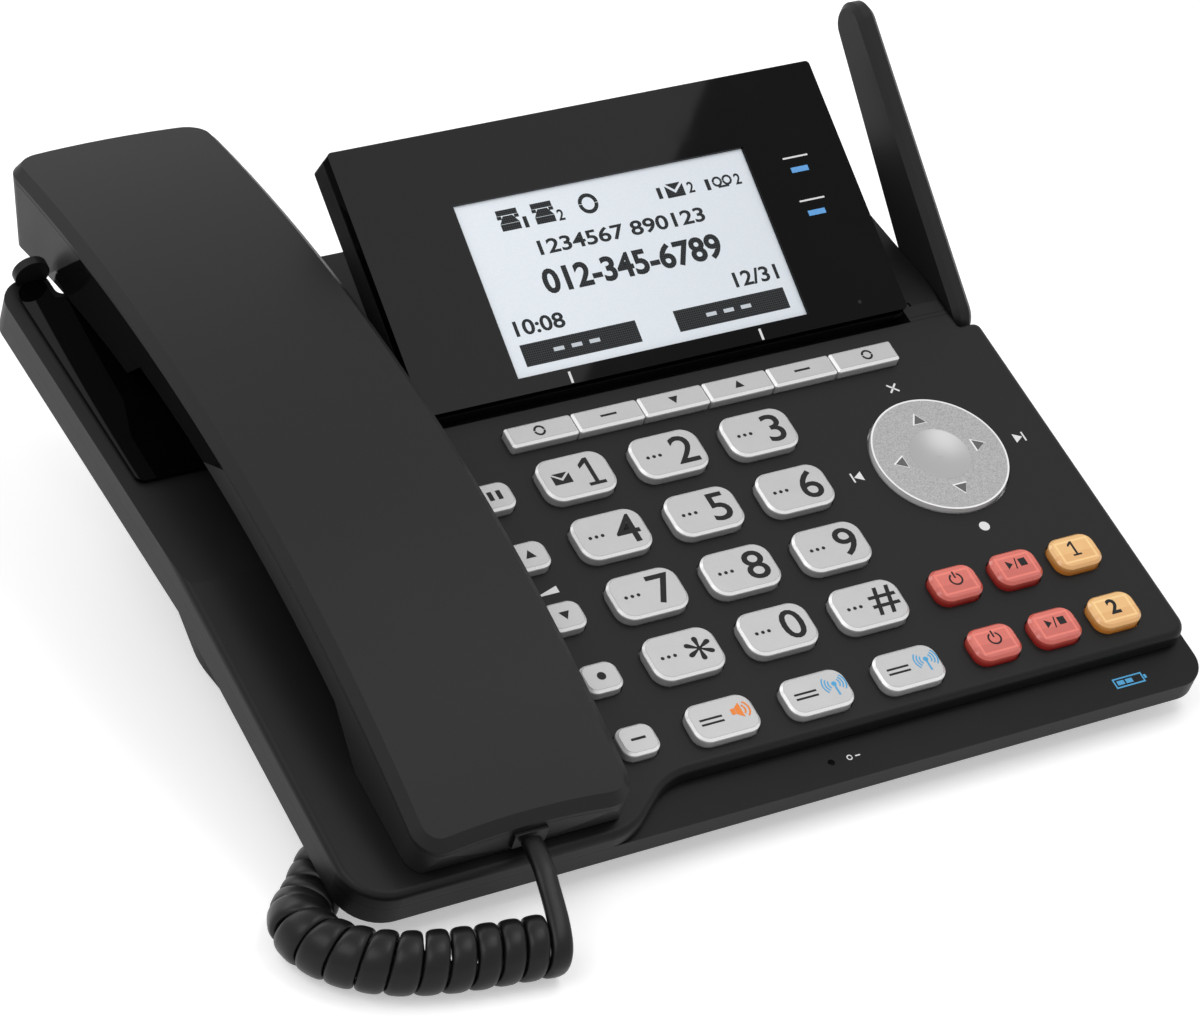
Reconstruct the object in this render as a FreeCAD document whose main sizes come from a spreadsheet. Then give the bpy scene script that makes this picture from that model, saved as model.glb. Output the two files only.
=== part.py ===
"""Corded two-line desk telephone with a built-in answering machine.

The table top is z = 0, the keys face -Y and the handset lies on the left. Most pieces are
described in the deck frame: origin at the digit 1 key, x to the right, y up the slope and
z along the deck's normal. place_on_deck and place_on_display turn those frames into the
part's own frame, whose origin lies on the table under the middle of the bounding box.
"""
import FreeCAD, Part
import math
import os
import Sketcher

Vector = FreeCAD.Vector

SIZES = (
    # Where the deck frame lies in the part's frame.
    ("deck_tilt", 18.0, "slope of the key deck over the table, degrees"),
    ("deck_rise", 41.5, "height of the deck frame's origin over the table"),
    ("side_shift", 11.3, "digit 1 key to the part's origin, along X"),
    ("depth_shift", 20.25, "digit 1 key to the part's origin, along Y"),
    # Thin two-piece housing.
    ("rear_bend", 8.0, "fall of the rear housing against the deck, degrees"),
    ("bend_line", -2.8, "deck y where the housing bends"),
    ("deck_bend", 25.8, "deck y where the deck's top bends, beside the display"),
    ("deck_level", -1.1, "deck z of the top skin"),
    ("upper_height", 4.0, "deck skin down to the parting plane"),
    ("lower_height", 4.8, "parting plane down to the underside"),
    ("skin", 1.6, "thickness of the deck skin"),
    ("floor_skin", 1.8, "thickness of the lower housing's floor"),
    ("wall", 2.0, "thickness of the housings' side walls"),
    ("base_left", -92.8, "deck x of the left edge"),
    ("base_right", 115.2, "deck x of the upper housing's right edge"),
    ("side_ledge", 0.2, "lower housing's step out on the right"),
    ("base_front", -86.9, "deck y of the front edge"),
    ("deck_front", -76.6, "deck y of the deck's front edge, behind the lip"),
    ("curve_left", -29.7, "deck x where the front edge starts to step back"),
    ("curve_right", -16.7, "deck x where the step back ends"),
    ("curve_radius", 14.0, "radius of both bends of the step"),
    ("deck_rear", 81.0, "deck y of the rear edge behind the display"),
    ("cradle_rear", 89.5, "deck y of the rear edge behind the cradle"),
    ("shoulder_rear", 96.8, "deck y of the rear edge beside the handset"),
    ("shoulder_gap", 0.9, "housing beside the handset to the handset's side"),
    ("shoulder_corner", 8.0, "radius of the rear left corner"),
    ("lug_x", -84.6, "deck x of the rounded lug at the rear left"),
    ("lug_level", -12.3, "deck z of the lug's centre"),
    ("lug_radius", 4.0, "radius of the lug"),
    ("lug_thick", 2.0, "thickness of the lug"),
    ("notch_y", 17.7, "deck y where the notch for the antenna starts"),
    ("notch_corner", 0.5, "inner corner radius of the notch"),
    ("cradle_line", -28.5, "deck x between the cradle and the deck"),
    ("front_corner", 10.0, "radius of the front left corner"),
    ("lip_corner", 7.0, "radius of the lip's front right corner"),
    ("deck_corner", 4.5, "radius of the deck's front right corner"),
    ("rear_corner", 4.0, "radius of the rear corners"),
    ("top_round", 1.6, "rounding of the top edge"),
    # Clearances.
    ("key_gap", 0.25, "clearance round each key"),
    ("gap", 0.3, "clearance between bodies that move past each other"),
    ("slide_gap", 0.05, "running clearance at flanges and pins"),
    # Keys.
    ("key_pitch_x", 23.0, "digit keys, side to side"),
    ("key_pitch_y", 16.8, "digit keys, row to row"),
    ("key_width", 17.0, "digit key along x"),
    ("key_depth", 11.5, "digit key along y"),
    ("key_corner", 3.7, "digit key corner radius"),
    ("function_width", 15.6, "function key along x"),
    ("function_depth", 9.7, "function key along y"),
    ("function_corner", 3.2, "function key corner radius"),
    ("function_y", -68.0, "deck y of the function keys"),
    ("side_width", 8.7, "small left key along x"),
    ("side_depth", 7.4, "small left key along y"),
    ("side_corner", 2.5, "small left key corner radius"),
    ("side_x", -20.2, "deck x of the small left keys"),
    ("side_y", -0.5, "deck y of the rearmost small left key"),
    ("side_pitch", 16.8, "small left keys, row to row"),
    ("lit_width", 11.5, "lit key along x"),
    ("lit_depth", 8.7, "lit key along y"),
    ("lit_corner", 3.0, "lit key corner radius"),
    ("lit_x", 68.2, "deck x of the leftmost lit keys"),
    ("lit_y", -50.5, "deck y of the rear row of lit keys"),
    ("lit_pitch_x", 15.7, "lit keys, side to side"),
    ("lit_pitch_y", 16.9, "lit keys, row to row"),
    ("soft_x", -1.7, "deck x of the first display key"),
    ("soft_y", 13.5, "deck y of the display keys"),
    ("soft_pitch", 16.55, "display keys, side to side"),
    ("soft_depth", 5.5, "display key along y"),
    ("soft_corner", 0.6, "display key corner radius"),
    ("key_rise", 2.4, "key tops over the deck skin"),
    ("key_bevel", 0.6, "bevel round the key tops"),
    ("flange_thick", 0.8, "retaining flange under a key"),
    ("flange_edge", 1.0, "retaining flange past the key's side"),
    # Four-way pad.
    ("dial_x", 84.3, "deck x of the four-way pad"),
    ("dial_y", -16.4, "deck y of the four-way pad"),
    ("dial_radius", 15.9, "radius of the four-way pad"),
    ("dial_rise", 1.2, "pad top over the deck skin"),
    ("dial_gap", 0.5, "clearance round the pad"),
    ("dish_radius", 7.2, "radius of the pad's hollow middle"),
    ("dish_depth", 0.9, "depth of the pad's hollow middle"),
    ("dial_flange", 1.6, "pad flange past the pad's side"),
    ("dial_swing", 0.9, "free height over and under the pad's flange"),
    ("pivot_reach", 2.0, "half the length of the pad's crossed pivot pins"),
    ("pivot_gap", 0.12, "clearance over and under the pivot pins"),
    # Circuit board stack.
    ("board_thick", 1.4, "main board thickness"),
    ("membrane_thick", 0.6, "rubber key mat thickness"),
    ("board_seat", 1.0, "board underside over the lower floor"),
    ("board_inset", 3.5, "board edge to the housing's outer edge"),
    ("board_rear", 19.0, "deck y of the board's rear edge"),
    ("seat_radius", 1.8, "board seat radius"),
    ("seat_inset", 7.2, "board seats to the board's side edges"),
    ("seat_front", 14.4, "front board seats to the board's front edge"),
    # Display.
    ("display_left", -25.4, "deck x of the display's left edge"),
    ("display_width", 123.9, "display along x"),
    ("display_height", 63.4, "display up its own slope"),
    ("display_y", 23.6, "deck y of the display face's lower edge"),
    ("display_z", 1.4, "deck z of the display face's lower edge"),
    ("display_tilt", 19.24, "display face over the deck, degrees"),
    ("bezel_thick", 2.8, "front bezel thickness"),
    ("case_thick", 6.4, "rear case thickness"),
    ("case_groove", 0.5, "depth and height of the groove between bezel and case"),
    ("display_corner", 1.0, "display corner radius"),
    ("case_wall", 1.6, "display case wall"),
    ("window_left", 24.4, "display edge to the window's left edge"),
    ("window_low", 3.8, "display edge to the window's lower edge"),
    ("window_right", 25.0, "window's right edge to the display's right edge"),
    ("window_height", 42.0, "window height"),
    ("window_sink", 0.8, "glass under the bezel's face"),
    ("lens_right", 15.3, "left side of the indicator bars to the display's right edge"),
    ("lens_low", 26.3, "display edge to the lower indicator bar"),
    ("lens_pitch", 10.9, "indicator bars, one above the other"),
    ("lens_width", 4.6, "indicator bar width"),
    ("lens_height", 1.4, "indicator bar height"),
    ("hinge_up", 1.1, "hinge axis up the display's slope from its lower edge"),
    ("hinge_pin", 1.5, "display hinge pin radius"),
    ("hinge_length", 2.4, "display hinge pin length"),
    ("tilt_back", 4.0, "display travel backwards, degrees"),
    # Antenna in the notch at the rear right.
    ("antenna_wide", 5.0, "antenna along x"),
    ("tip_radius", 5.75, "radius of the antenna's round tip"),
    ("root_along", 9.0, "hub centre to the root's centre, along the blade"),
    ("root_behind", 6.0, "root's centre behind the hub's centre"),
    ("root_radius", 4.5, "radius of the antenna's root"),
    ("antenna_length", 76.2, "antenna hub centre to tip"),
    ("antenna_hub", 6.2, "antenna hub radius"),
    ("antenna_y", 24.3, "deck y of the antenna's hinge"),
    ("antenna_z", -5.3, "deck z of the antenna's hinge"),
    ("antenna_angle", 26.5, "antenna over the deck, degrees"),
    ("antenna_pin", 1.6, "antenna hinge pin radius"),
    ("antenna_bevel", 1.3, "bevel along the antenna's edges"),
    ("pin_head", 2.2, "radius of the hinge pin's head"),
    ("pin_head_thick", 1.0, "thickness of the hinge pin's head"),
    # Handset, an arc about a line along X.
    ("arc_y", -11.0, "deck y of the handset's arc centre"),
    ("arc_z", -322.2, "deck z of the handset's arc centre"),
    ("cover_radius", 338.7, "top of the handset cover"),
    ("seam_radius", 335.8, "seam between cover and lower shell"),
    ("handle_radius", 330.3, "underside of the handle"),
    ("ear_radius", 324.8, "underside of the ear block"),
    ("handset_left", -79.6, "deck x of the handset's left side"),
    ("handset_width", 49.4, "handset along x"),
    ("handset_front", -12.7, "front end, degrees about the arc centre"),
    ("crown_start", 3.5, "where the flatter rear crown starts, degrees"),
    ("crown_radius", 430.0, "top of the cover behind that, about its own centre"),
    ("rear_slant", 31.0, "slant of the rear end from the deck's normal, degrees"),
    ("ear_angle", 12.07, "front edge of the ear block, degrees"),
    ("ear_ramp", 0.95, "ramp in front of the ear block, degrees"),
    ("mouth_level", -0.8, "deck z of the mouth block's underside"),
    ("ramp_low", -57.0, "deck y of the mouth ramp's lower edge"),
    ("ramp_high", -44.0, "deck y of the mouth ramp's upper edge"),
    ("plan_front", -85.5, "deck y of the front corners in plan"),
    ("plan_rear", 127.2, "deck y of the rear end in plan, at the crown"),
    ("front_hollow", 1.8, "hollow of the front edge in plan"),
    ("rear_bulge", 2.0, "bulge of the rear edge in plan"),
    ("handset_corner", 6.0, "front corner radius in plan"),
    ("ear_corner", 8.0, "rear corner radius in plan"),
    ("handset_bevel", 2.0, "bevel round the cover"),
    ("handset_wall", 1.8, "handset wall"),
    ("seam_gap", 0.1, "joint line between cover and lower shell"),
    ("receiver_radius", 16.0, "ear capsule radius"),
    ("receiver_height", 5.0, "ear capsule height"),
    ("receiver_angle", 18.6, "ear capsule, degrees about the arc centre"),
    ("receiver_ring", 6.4, "radius of the ring of sound holes"),
    ("mic_radius", 4.85, "handset microphone radius"),
    ("mic_height", 3.0, "handset microphone height"),
    ("mic_y", -68.0, "deck y of the handset microphone"),
    ("plug_x", -54.45, "deck x of the cord plug"),
    ("plug_width", 7.6, "cord plug along x"),
    ("plug_height", 4.1, "cord plug height"),
    ("plug_depth", 8.5, "cord plug length"),
    ("plug_level", 1.1, "deck z of the plug's underside"),
    ("plug_out", 1.0, "plug standing out of the handset's front"),
    # Cradle.
    ("insert_front", 28.0, "deck y of the cradle insert's front edge"),
    ("insert_rim", 3.4, "housing rim left free beside the insert"),
    ("insert_thick", 1.0, "cradle insert thickness"),
    ("insert_corner", 2.0, "cradle insert corner radius"),
    ("saddle_inset", 6.0, "saddle edge to the handset's side"),
    ("ear_room", 8.0, "room over the cradle in front of the ear block"),
    ("hook_x", -55.1, "deck x of the hook button"),
    ("hook_y", 66.0, "deck y of the hook button"),
    ("hook_width", 10.0, "hook button along x"),
    ("hook_depth", 6.0, "hook button along y"),
    ("hook_travel", 3.0, "stroke of the hook button"),
    # Desk stand.
    ("stand_front", -40.2, "Y of the stand's front wall"),
    ("stand_middle", -0.2, "Y where the stand's sides start to taper"),
    ("stand_rear", 55.8, "Y of the stand's rear wall"),
    ("stand_half", 89.2, "half the stand's width in front"),
    ("stand_taper", 12.8, "how far each side tapers in to the rear"),
    ("stand_corner", 8.0, "radius of the stand's corners"),
    ("stand_wall", 2.5, "thickness of the stand's walls and floor"),
    ("tab_width", 12.0, "locating tab of the stand along y"),
    ("tab_y", -20.0, "deck y of the stand's locating tabs"),
    ("tab_depth", 1.44, "locating tab past the housing's underside"),
    ("foot_radius", 6.0, "radius of the stand's feet"),
    ("foot_height", 2.0, "height of the stand's feet"),
    ("foot_inset", 13.0, "centre of a stand foot to the stand's edge"),
    ("front_foot_radius", 4.0, "radius of the two front feet"),
    ("front_foot_inset", 14.0, "front foot to the lower housing's edges"),
    ("speaker_radius", 26.0, "loudspeaker radius"),
    ("speaker_height", 9.0, "loudspeaker frame height"),
    ("magnet_radius", 13.0, "loudspeaker magnet radius"),
    ("magnet_height", 7.0, "loudspeaker magnet height"),
    ("speaker_hole", 1.5, "radius of the sound holes"),
    ("jack_width", 13.0, "jack housing along X"),
    ("jack_height", 11.0, "jack housing height"),
    ("jack_depth", 14.0, "jack housing depth"),
    ("port_width", 9.8, "jack opening width"),
    ("port_height", 6.8, "jack opening height"),
    ("port_depth", 11.0, "jack opening depth"),
    ("handset_jack_x", -60.45, "X of the handset jack"),
    ("line_jack_x", 34.0, "X of the line jack"),
    ("jack_level", 11.0, "height of the jacks' middles"),
    # Screws.
    ("screw_radius", 1.2, "housing screw shank radius"),
    ("screw_head", 2.6, "housing screw head radius"),
    ("head_height", 1.1, "housing screw head height"),
    ("boss_radius", 3.6, "screw boss radius"),
    ("screw_inset", 8.5, "screw to the housing's outer edges"),
    # Small electrical parts.
    ("usb_width", 7.6, "charging socket opening width"),
    ("usb_height", 2.0, "charging socket opening height"),
    ("usb_depth", 5.0, "charging socket depth"),
    ("usb_wall", 0.4, "charging socket shell thickness"),
    ("usb_y", -70.0, "deck y of the charging socket"),
    ("base_mic_x", 20.7, "deck x of the hands-free microphone"),
    ("base_mic_y", -81.7, "deck y of the hands-free microphone"),
    ("base_mic_size", 3.6, "hands-free microphone width"),
    ("base_mic_depth", 2.7, "hands-free microphone depth"),
    ("base_mic_height", 1.1, "hands-free microphone height"),
    ("base_mic_hole", 0.8, "hands-free microphone hole radius"),
    # Handset cord.
    ("coil_radius", 6.5, "outer radius of the coiled cord"),
    ("cord_radius", 1.9, "radius of the cord's plain ends"),
)

# Routes of the handset cord, from the handset to the jack, in the part's frame.
HANDSET_LEAD = (
    (-65.85, -102.35, 18.2), (-66.75, -108.25, 17.6), (-67.85, -114.25, 14.6), (-68.75, -119.25, 11.6),
    (-68.95, -121.85, 8.0), (-70.55, -122.85, 5.0), (-74.45, -122.25, 5.0), (-79.45, -120.75, 6.5),
)
COIL = (
    (-71.15, -121.65, 6.5), (-83.45, -119.65, 6.5), (-93.45, -117.25, 6.5), (-101.95, -113.75, 6.5),
    (-109.45, -107.25, 6.5), (-112.95, -99.25, 6.5), (-112.55, -89.75, 6.5), (-108.45, -80.75, 6.5),
    (-101.45, -72.75, 6.5), (-92.45, -67.25, 6.5), (-84.45, -64.35, 6.5), (-78.45, -62.75, 6.5),
)
BASE_LEAD = (
    (-82.45, -63.15, 6.5), (-74.95, -60.55, 7.0), (-67.75, -56.05, 8.6), (-62.55, -48.65, 10.4),
    (-60.45, -41.05, 11.0), (-60.25, -34.25, 11.0),
)

DIGIT_ROWS = (("1", "2", "3"), ("4", "5", "6"), ("7", "8", "9"), ("star", "0", "hash"))
FUNCTION_KEYS = ("speaker", "talk_left", "talk_right")

doc = FreeCAD.newDocument("DeskTelephone")
sheet = doc.addObject("Spreadsheet::Sheet", "Sizes")
for row, (alias, number, note) in enumerate(SIZES, 1):
    sheet.set(f"A{row}", alias)
    sheet.set(f"B{row}", str(number))
    sheet.setAlias(f"B{row}", alias)
    sheet.set(f"C{row}", note)
doc.recompute()

subparts = []


def size(alias):
    """A driving dimension, as the sheet holds it now."""
    return float(sheet.get(alias))


def bound(expression):
    """An expression with every driving dimension written as a cell of the sheet."""
    for alias, _, _ in sorted(SIZES, key=lambda entry: -len(entry[0])):
        expression = expression.replace(f"<{alias}>", f"Sizes.{alias}")
    return expression


# ---------------------------------------------------------------- places

PARTING = "(<deck_level> - <upper_height>)"
DECK_FLOOR = f"({PARTING} - <lower_height> + <floor_skin>)"
BOARD_TOP = f"({DECK_FLOOR} + <board_seat> + <board_thick>)"
MAT_TOP = f"({BOARD_TOP} + <membrane_thick>)"


def place_on_deck(piece, x="0", y="0", z="0", turn="0"):
    """Bind a piece to a point of the deck frame, turned up from the deck about X."""
    piece.setExpression("Placement", bound(
        f"placement(vector({x} - <side_shift>; "
        f"({y}) * cos(<deck_tilt>) - ({z}) * sin(<deck_tilt>) - <depth_shift>; "
        f"({y}) * sin(<deck_tilt>) + ({z}) * cos(<deck_tilt>) + <deck_rise>); "
        f"rotation(vector(1; 0; 0); <deck_tilt> + ({turn})))"))


def place_on_display(piece, x="0", y="0", z="0"):
    """Bind a piece to a point of the display face: x right, y up the face, z out of it."""
    place_on_deck(
        piece,
        x=f"<display_left> + {x}",
        y=f"<display_y> + ({y}) * cos(<display_tilt>) - ({z}) * sin(<display_tilt>)",
        z=f"<display_z> + ({y}) * sin(<display_tilt>) + ({z}) * cos(<display_tilt>)",
        turn="<display_tilt>")


def place_at(piece, x="0", y="0", z="0"):
    """Bind a piece to a point of the part's own frame, unturned."""
    piece.setExpression("Placement", bound(
        f"placement(vector({x}; {y}; {z}); rotation(vector(0; 0; 1); 0))"))


def middle_x():
    """X of the housing's middle plane in the part's frame."""
    return (size("base_left") + size("base_right")) / 2 - size("side_shift")


def finish(piece, label):
    """Name a sub-part and put it on the list of pieces to write."""
    piece.Label = label
    subparts.append(piece)
    return piece


# ---------------------------------------------------------------- drawing helpers

def rounded_wire(corners):
    """Closed wire at z = 0 through corners (x, y, radius), each rounded by its radius."""
    points = [Vector(x, y, 0) for x, y, _ in corners]
    starts = []
    ends = []
    middles = []
    for index, (corner, (_, _, radius)) in enumerate(zip(points, corners)):
        back = (points[index - 1] - corner).normalize()
        ahead = (points[(index + 1) % len(points)] - corner).normalize()
        half = back.getAngle(ahead) / 2
        inward = (back + ahead).normalize()
        starts.append(corner + back * (radius / math.tan(half)))
        ends.append(corner + ahead * (radius / math.tan(half)))
        middles.append(corner + inward * (radius / math.sin(half) - radius))
    edges = []
    for index in range(len(points)):
        edges.append(Part.Arc(starts[index], middles[index], ends[index]).toShape())
        following = starts[(index + 1) % len(points)]
        if (following - ends[index]).Length > 1e-6:
            edges.append(Part.LineSegment(ends[index], following).toShape())
    return Part.Wire(edges)


def upright(wire, low, high):
    """Solid over a plan wire, from one height to another."""
    face = Part.Face(wire)
    face.translate(Vector(0, 0, low))
    return face.extrude(Vector(0, 0, high - low))


def across(points, left, right):
    """Solid with a side view of (y, z) points, from one x to another."""
    corners = [Vector(left, y, z) for y, z in points]
    face = Part.Face(Part.makePolygon(corners + corners[:1]))
    return face.extrude(Vector(right - left, 0, 0))


def rod(x, y, z, radius, length):
    """Cylinder along +X."""
    return Part.makeCylinder(radius, length, Vector(x, y, z), Vector(1, 0, 0))


REACH = 200.0  # half the span of the construction blocks, well past the telephone
CROWN_SPAN = (-36.0, 180.0)  # first angle and last deck y of the construction crown


def below(level, bend, left=-REACH, right=REACH):
    """Everything under the plane at a deck level that falls away behind the bend."""
    fall = (REACH - bend) * math.tan(math.radians(size("rear_bend")))
    outline = [(-REACH, -REACH), (-REACH, level), (bend, level), (REACH, level - fall), (REACH, -REACH)]
    return across(outline, left, right)


def edge_names(shape, wanted):
    """Names of the edges of a shape that pass a test."""
    return [f"Edge{number}" for number, edge in enumerate(shape.Edges, 1) if wanted(edge)]


def add_feature(label, shape):
    """A sub-part whose shape is built in code in the deck frame."""
    piece = doc.addObject("Part::Feature", label)
    piece.Shape = shape
    place_on_deck(piece)
    return finish(piece, label)


def add_free_feature(label, shape):
    """A sub-part whose shape is built in code in the part's own frame."""
    piece = doc.addObject("Part::Feature", label)
    piece.Shape = shape
    place_at(piece)
    return finish(piece, label)


# ---------------------------------------------------------------- PartDesign helpers

def origin_plane(body, role):
    """One of a body's own origin planes."""
    return next(item for item in body.Origin.OriginFeatures if item.Role == role)


def new_sketch(body, name, height="0"):
    """Sketch parallel to the body's XY plane, at a height."""
    sketch = body.newObject("Sketcher::SketchObject", name)
    sketch.AttachmentSupport = (origin_plane(body, "XY_Plane"), [""])
    sketch.MapMode = "FlatFace"
    sketch.setExpression("AttachmentOffset.Base.z", bound(height))
    return sketch


def draw_rectangle(sketch, tag, width, depth, x=None, y=None):
    """Rectangle bound to the sheet: centred on the origin, or with its lower left corner at x, y."""
    first = sketch.GeometryCount
    corners = [Vector(-1, -1, 0), Vector(1, -1, 0), Vector(1, 1, 0), Vector(-1, 1, 0)]
    if x is not None:
        corners = [corner + Vector(3, 3, 0) for corner in corners]
    for start, end in zip(corners, corners[1:] + corners[:1]):
        sketch.addGeometry(Part.LineSegment(start, end))
    for side in range(4):
        following = first + (side + 1) % 4
        sketch.addConstraint(Sketcher.Constraint("Coincident", first + side, 2, following, 1))
        direction = "Horizontal" if side % 2 == 0 else "Vertical"
        sketch.addConstraint(Sketcher.Constraint(direction, first + side))
    bind(sketch, f"{tag}_width", Sketcher.Constraint("DistanceX", first, 1, first, 2, 2.0), width)
    bind(sketch, f"{tag}_depth", Sketcher.Constraint("DistanceY", first + 1, 1, first + 1, 2, 2.0), depth)
    if x is None:
        sketch.addConstraint(Sketcher.Constraint("Symmetric", first, 1, first + 1, 2, -1, 1))
    else:
        bind(sketch, f"{tag}_x", Sketcher.Constraint("DistanceX", -1, 1, first, 1, 2.0), x)
        bind(sketch, f"{tag}_y", Sketcher.Constraint("DistanceY", -1, 1, first, 1, 2.0), y)


def bind(sketch, name, constraint, expression):
    """Add a named dimension to a sketch and bind it to the sheet."""
    number = sketch.addConstraint(constraint)
    sketch.renameConstraint(number, name)
    sketch.setExpression(f"Constraints.{name}", bound(expression))


def pad(body, name, sketch, length):
    """Pad a sketch upwards."""
    feature = body.newObject("PartDesign::Pad", name)
    feature.Profile = sketch
    feature.setExpression("Length", bound(length))
    return feature


def dress(body, kind, name, base, wanted, attribute, amount):
    """Fillet or chamfer those edges of a feature that pass a test."""
    doc.recompute()
    feature = body.newObject(f"PartDesign::{kind}", name)
    feature.Base = (base, edge_names(base.Shape, wanted))
    feature.setExpression(attribute, bound(amount))
    return feature


# ---------------------------------------------------------------- keys

def key_body(label, x, y, width, depth, corner, side_flange=True):
    """One key: cap, bevelled top and the flange that keeps it under the deck skin."""
    body = doc.addObject("PartDesign::Body", label)
    foot = "-(<skin> + <slide_gap> + <flange_thick>)"
    flange_sketch = new_sketch(body, label + "_flange_plan", foot)
    flange_width = f"{width} + 2 * <flange_edge>" if side_flange else width
    draw_rectangle(flange_sketch, "flange", flange_width, f"{depth} + 2 * <flange_edge>")
    pad(body, label + "_flange", flange_sketch, "<flange_thick>")
    cap_sketch = new_sketch(body, label + "_cap_plan", foot)
    draw_rectangle(cap_sketch, "cap", width, depth)
    cap = pad(body, label + "_cap", cap_sketch, "<skin> + <slide_gap> + <flange_thick> + <key_rise>")
    top = size("key_rise")

    def cap_upright(edge):
        low, high = sorted(vertex.Z for vertex in edge.Vertexes)
        return abs(high - top) < 1e-6 and low < top - 1e-6

    def cap_rim(edge):
        return all(abs(vertex.Z - top) < 1e-6 for vertex in edge.Vertexes)

    rounded = dress(body, "Fillet", label + "_corners", cap, cap_upright, "Radius", corner)
    dress(body, "Chamfer", label + "_bevel", rounded, cap_rim, "Size", "<key_bevel>")
    place_on_deck(body, x, y, "<deck_level>")
    return finish(body, label)


def key_places():
    """Every key: label, x, y, width, depth, corner and whether its flange has side edges."""
    places = []
    for row, names in enumerate(DIGIT_ROWS):
        for column, name in enumerate(names):
            places.append((f"key_{name}", f"{column} * <key_pitch_x>", f"-{row} * <key_pitch_y>",
                           "<key_width>", "<key_depth>", "<key_corner>", True))
    for column, name in enumerate(FUNCTION_KEYS):
        places.append((f"key_{name}", f"{column} * <key_pitch_x>", "<function_y>",
                       "<function_width>", "<function_depth>", "<function_corner>", True))
    for row in range(5):
        places.append((f"key_side_{row + 1}", "<side_x>", f"<side_y> - {row} * <side_pitch>",
                       "<side_width>", "<side_depth>", "<side_corner>", True))
    for number in range(6):
        column, row = number % 3, number // 3
        places.append((f"key_lit_{number + 1}", f"<lit_x> + {column} * <lit_pitch_x>",
                       f"<lit_y> - {row} * <lit_pitch_y>",
                       "<lit_width>", "<lit_depth>", "<lit_corner>", True))
    for number in range(6):
        places.append((f"key_soft_{number + 1}", f"<soft_x> + {number} * <soft_pitch>", "<soft_y>",
                       "<soft_pitch> - <gap>", "<soft_depth>", "<soft_corner>", False))
    return places


def evaluate(expression):
    """Number behind an expression of driving dimensions."""
    return float(sheet.evalExpression(bound(expression)))


def key_openings():
    """Solids that cut the deck skin where the keys come through."""
    clear = size("key_gap")
    high = size("deck_level") + size("skin")
    low = high - 3 * size("skin")
    cuts = []
    for _, x, y, width, depth, corner, side_flange in KEY_PLACES:
        if side_flange:
            cuts.append(opening(evaluate(x), evaluate(y), evaluate(width) + 2 * clear,
                                evaluate(depth) + 2 * clear, evaluate(corner) + clear, low, high))
    row_width = 6 * size("soft_pitch") - size("gap") + 2 * clear
    row_middle = size("soft_x") + 2.5 * size("soft_pitch")
    cuts.append(opening(row_middle, size("soft_y"), row_width, size("soft_depth") + 2 * clear,
                        size("soft_corner") + clear, low, high))
    return cuts


def opening(x, y, width, depth, corner, low, high):
    """Upright block with rounded corners, centred on x and y."""
    left, right = x - width / 2, x + width / 2
    front, rear = y - depth / 2, y + depth / 2
    corners = [(left, front, corner), (right, front, corner), (right, rear, corner), (left, rear, corner)]
    return upright(rounded_wire(corners), low, high)


KEY_PLACES = key_places()


# ---------------------------------------------------------------- four-way pad

def primitive(kind, name, **expressions):
    """A Part primitive with its sizes bound to the sheet."""
    piece = doc.addObject(f"Part::{kind}", name)
    for attribute, expression in expressions.items():
        piece.setExpression(attribute, bound(expression))
    return piece


def fused(name, pieces):
    """Union of Part objects."""
    piece = doc.addObject("Part::MultiFuse", name)
    piece.Shapes = pieces
    return piece


DIAL_FLANGE_TOP = "(<deck_level> - <skin> - <dial_swing>)"
DIAL_FOOT = f"({MAT_TOP} + <dial_swing>)"


def dial_pad():
    """Round four-way pad with a hollow middle and a flange under the skin."""
    cap = primitive("Cylinder", "DialCap", Radius="<dial_radius>",
                    Height=f"<deck_level> + <dial_rise> - {DIAL_FOOT}")
    flange = primitive("Cylinder", "DialFlange", Radius="<dial_radius> + <dial_flange>",
                       Height=f"{DIAL_FLANGE_TOP} - {DIAL_FOOT}")
    whole = fused("DialBody", [cap, flange])
    dish = primitive("Sphere", "DialDish", Radius="(<dish_radius>^2 + <dish_depth>^2) / (2 * <dish_depth>)")
    place_at(dish, z=f"<deck_level> + <dial_rise> - {DIAL_FOOT} - <dish_depth> "
                     "+ (<dish_radius>^2 + <dish_depth>^2) / (2 * <dish_depth>)")
    piece = doc.addObject("Part::Cut", "dial_pad")
    piece.Base = whole
    piece.Tool = dish
    place_on_deck(piece, "<dial_x>", "<dial_y>", DIAL_FOOT)
    return finish(piece, "dial_pad")


def dial_gimbal():
    """Crossed pivot pins between the pad and the key mat."""
    pins = []
    for name, start, way in (("PivotAcross", "-<pivot_reach>; 0; 0", "0; 1; 0"),
                             ("PivotAlong", "0; <pivot_reach>; 0", "1; 0; 0")):
        pin = primitive("Cylinder", name, Radius="<dial_swing> / 2 - <pivot_gap>",
                        Height="2 * <pivot_reach>")
        pin.setExpression("Placement", bound(f"placement(vector({start}); rotation(vector({way}); 90))"))
        pins.append(pin)
    piece = fused("dial_gimbal", pins)
    place_on_deck(piece, "<dial_x>", "<dial_y>", f"{MAT_TOP} + <dial_swing> / 2")
    return finish(piece, "dial_gimbal")


# ---------------------------------------------------------------- housings

def notch_x():
    """Deck x of the notch's wall beside the antenna."""
    return size("base_right") - size("antenna_wide") - size("gap")


def shoulder_x():
    """Deck x where the longer rear edge beside the handset ends."""
    return size("handset_left") - size("shoulder_gap")


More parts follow.
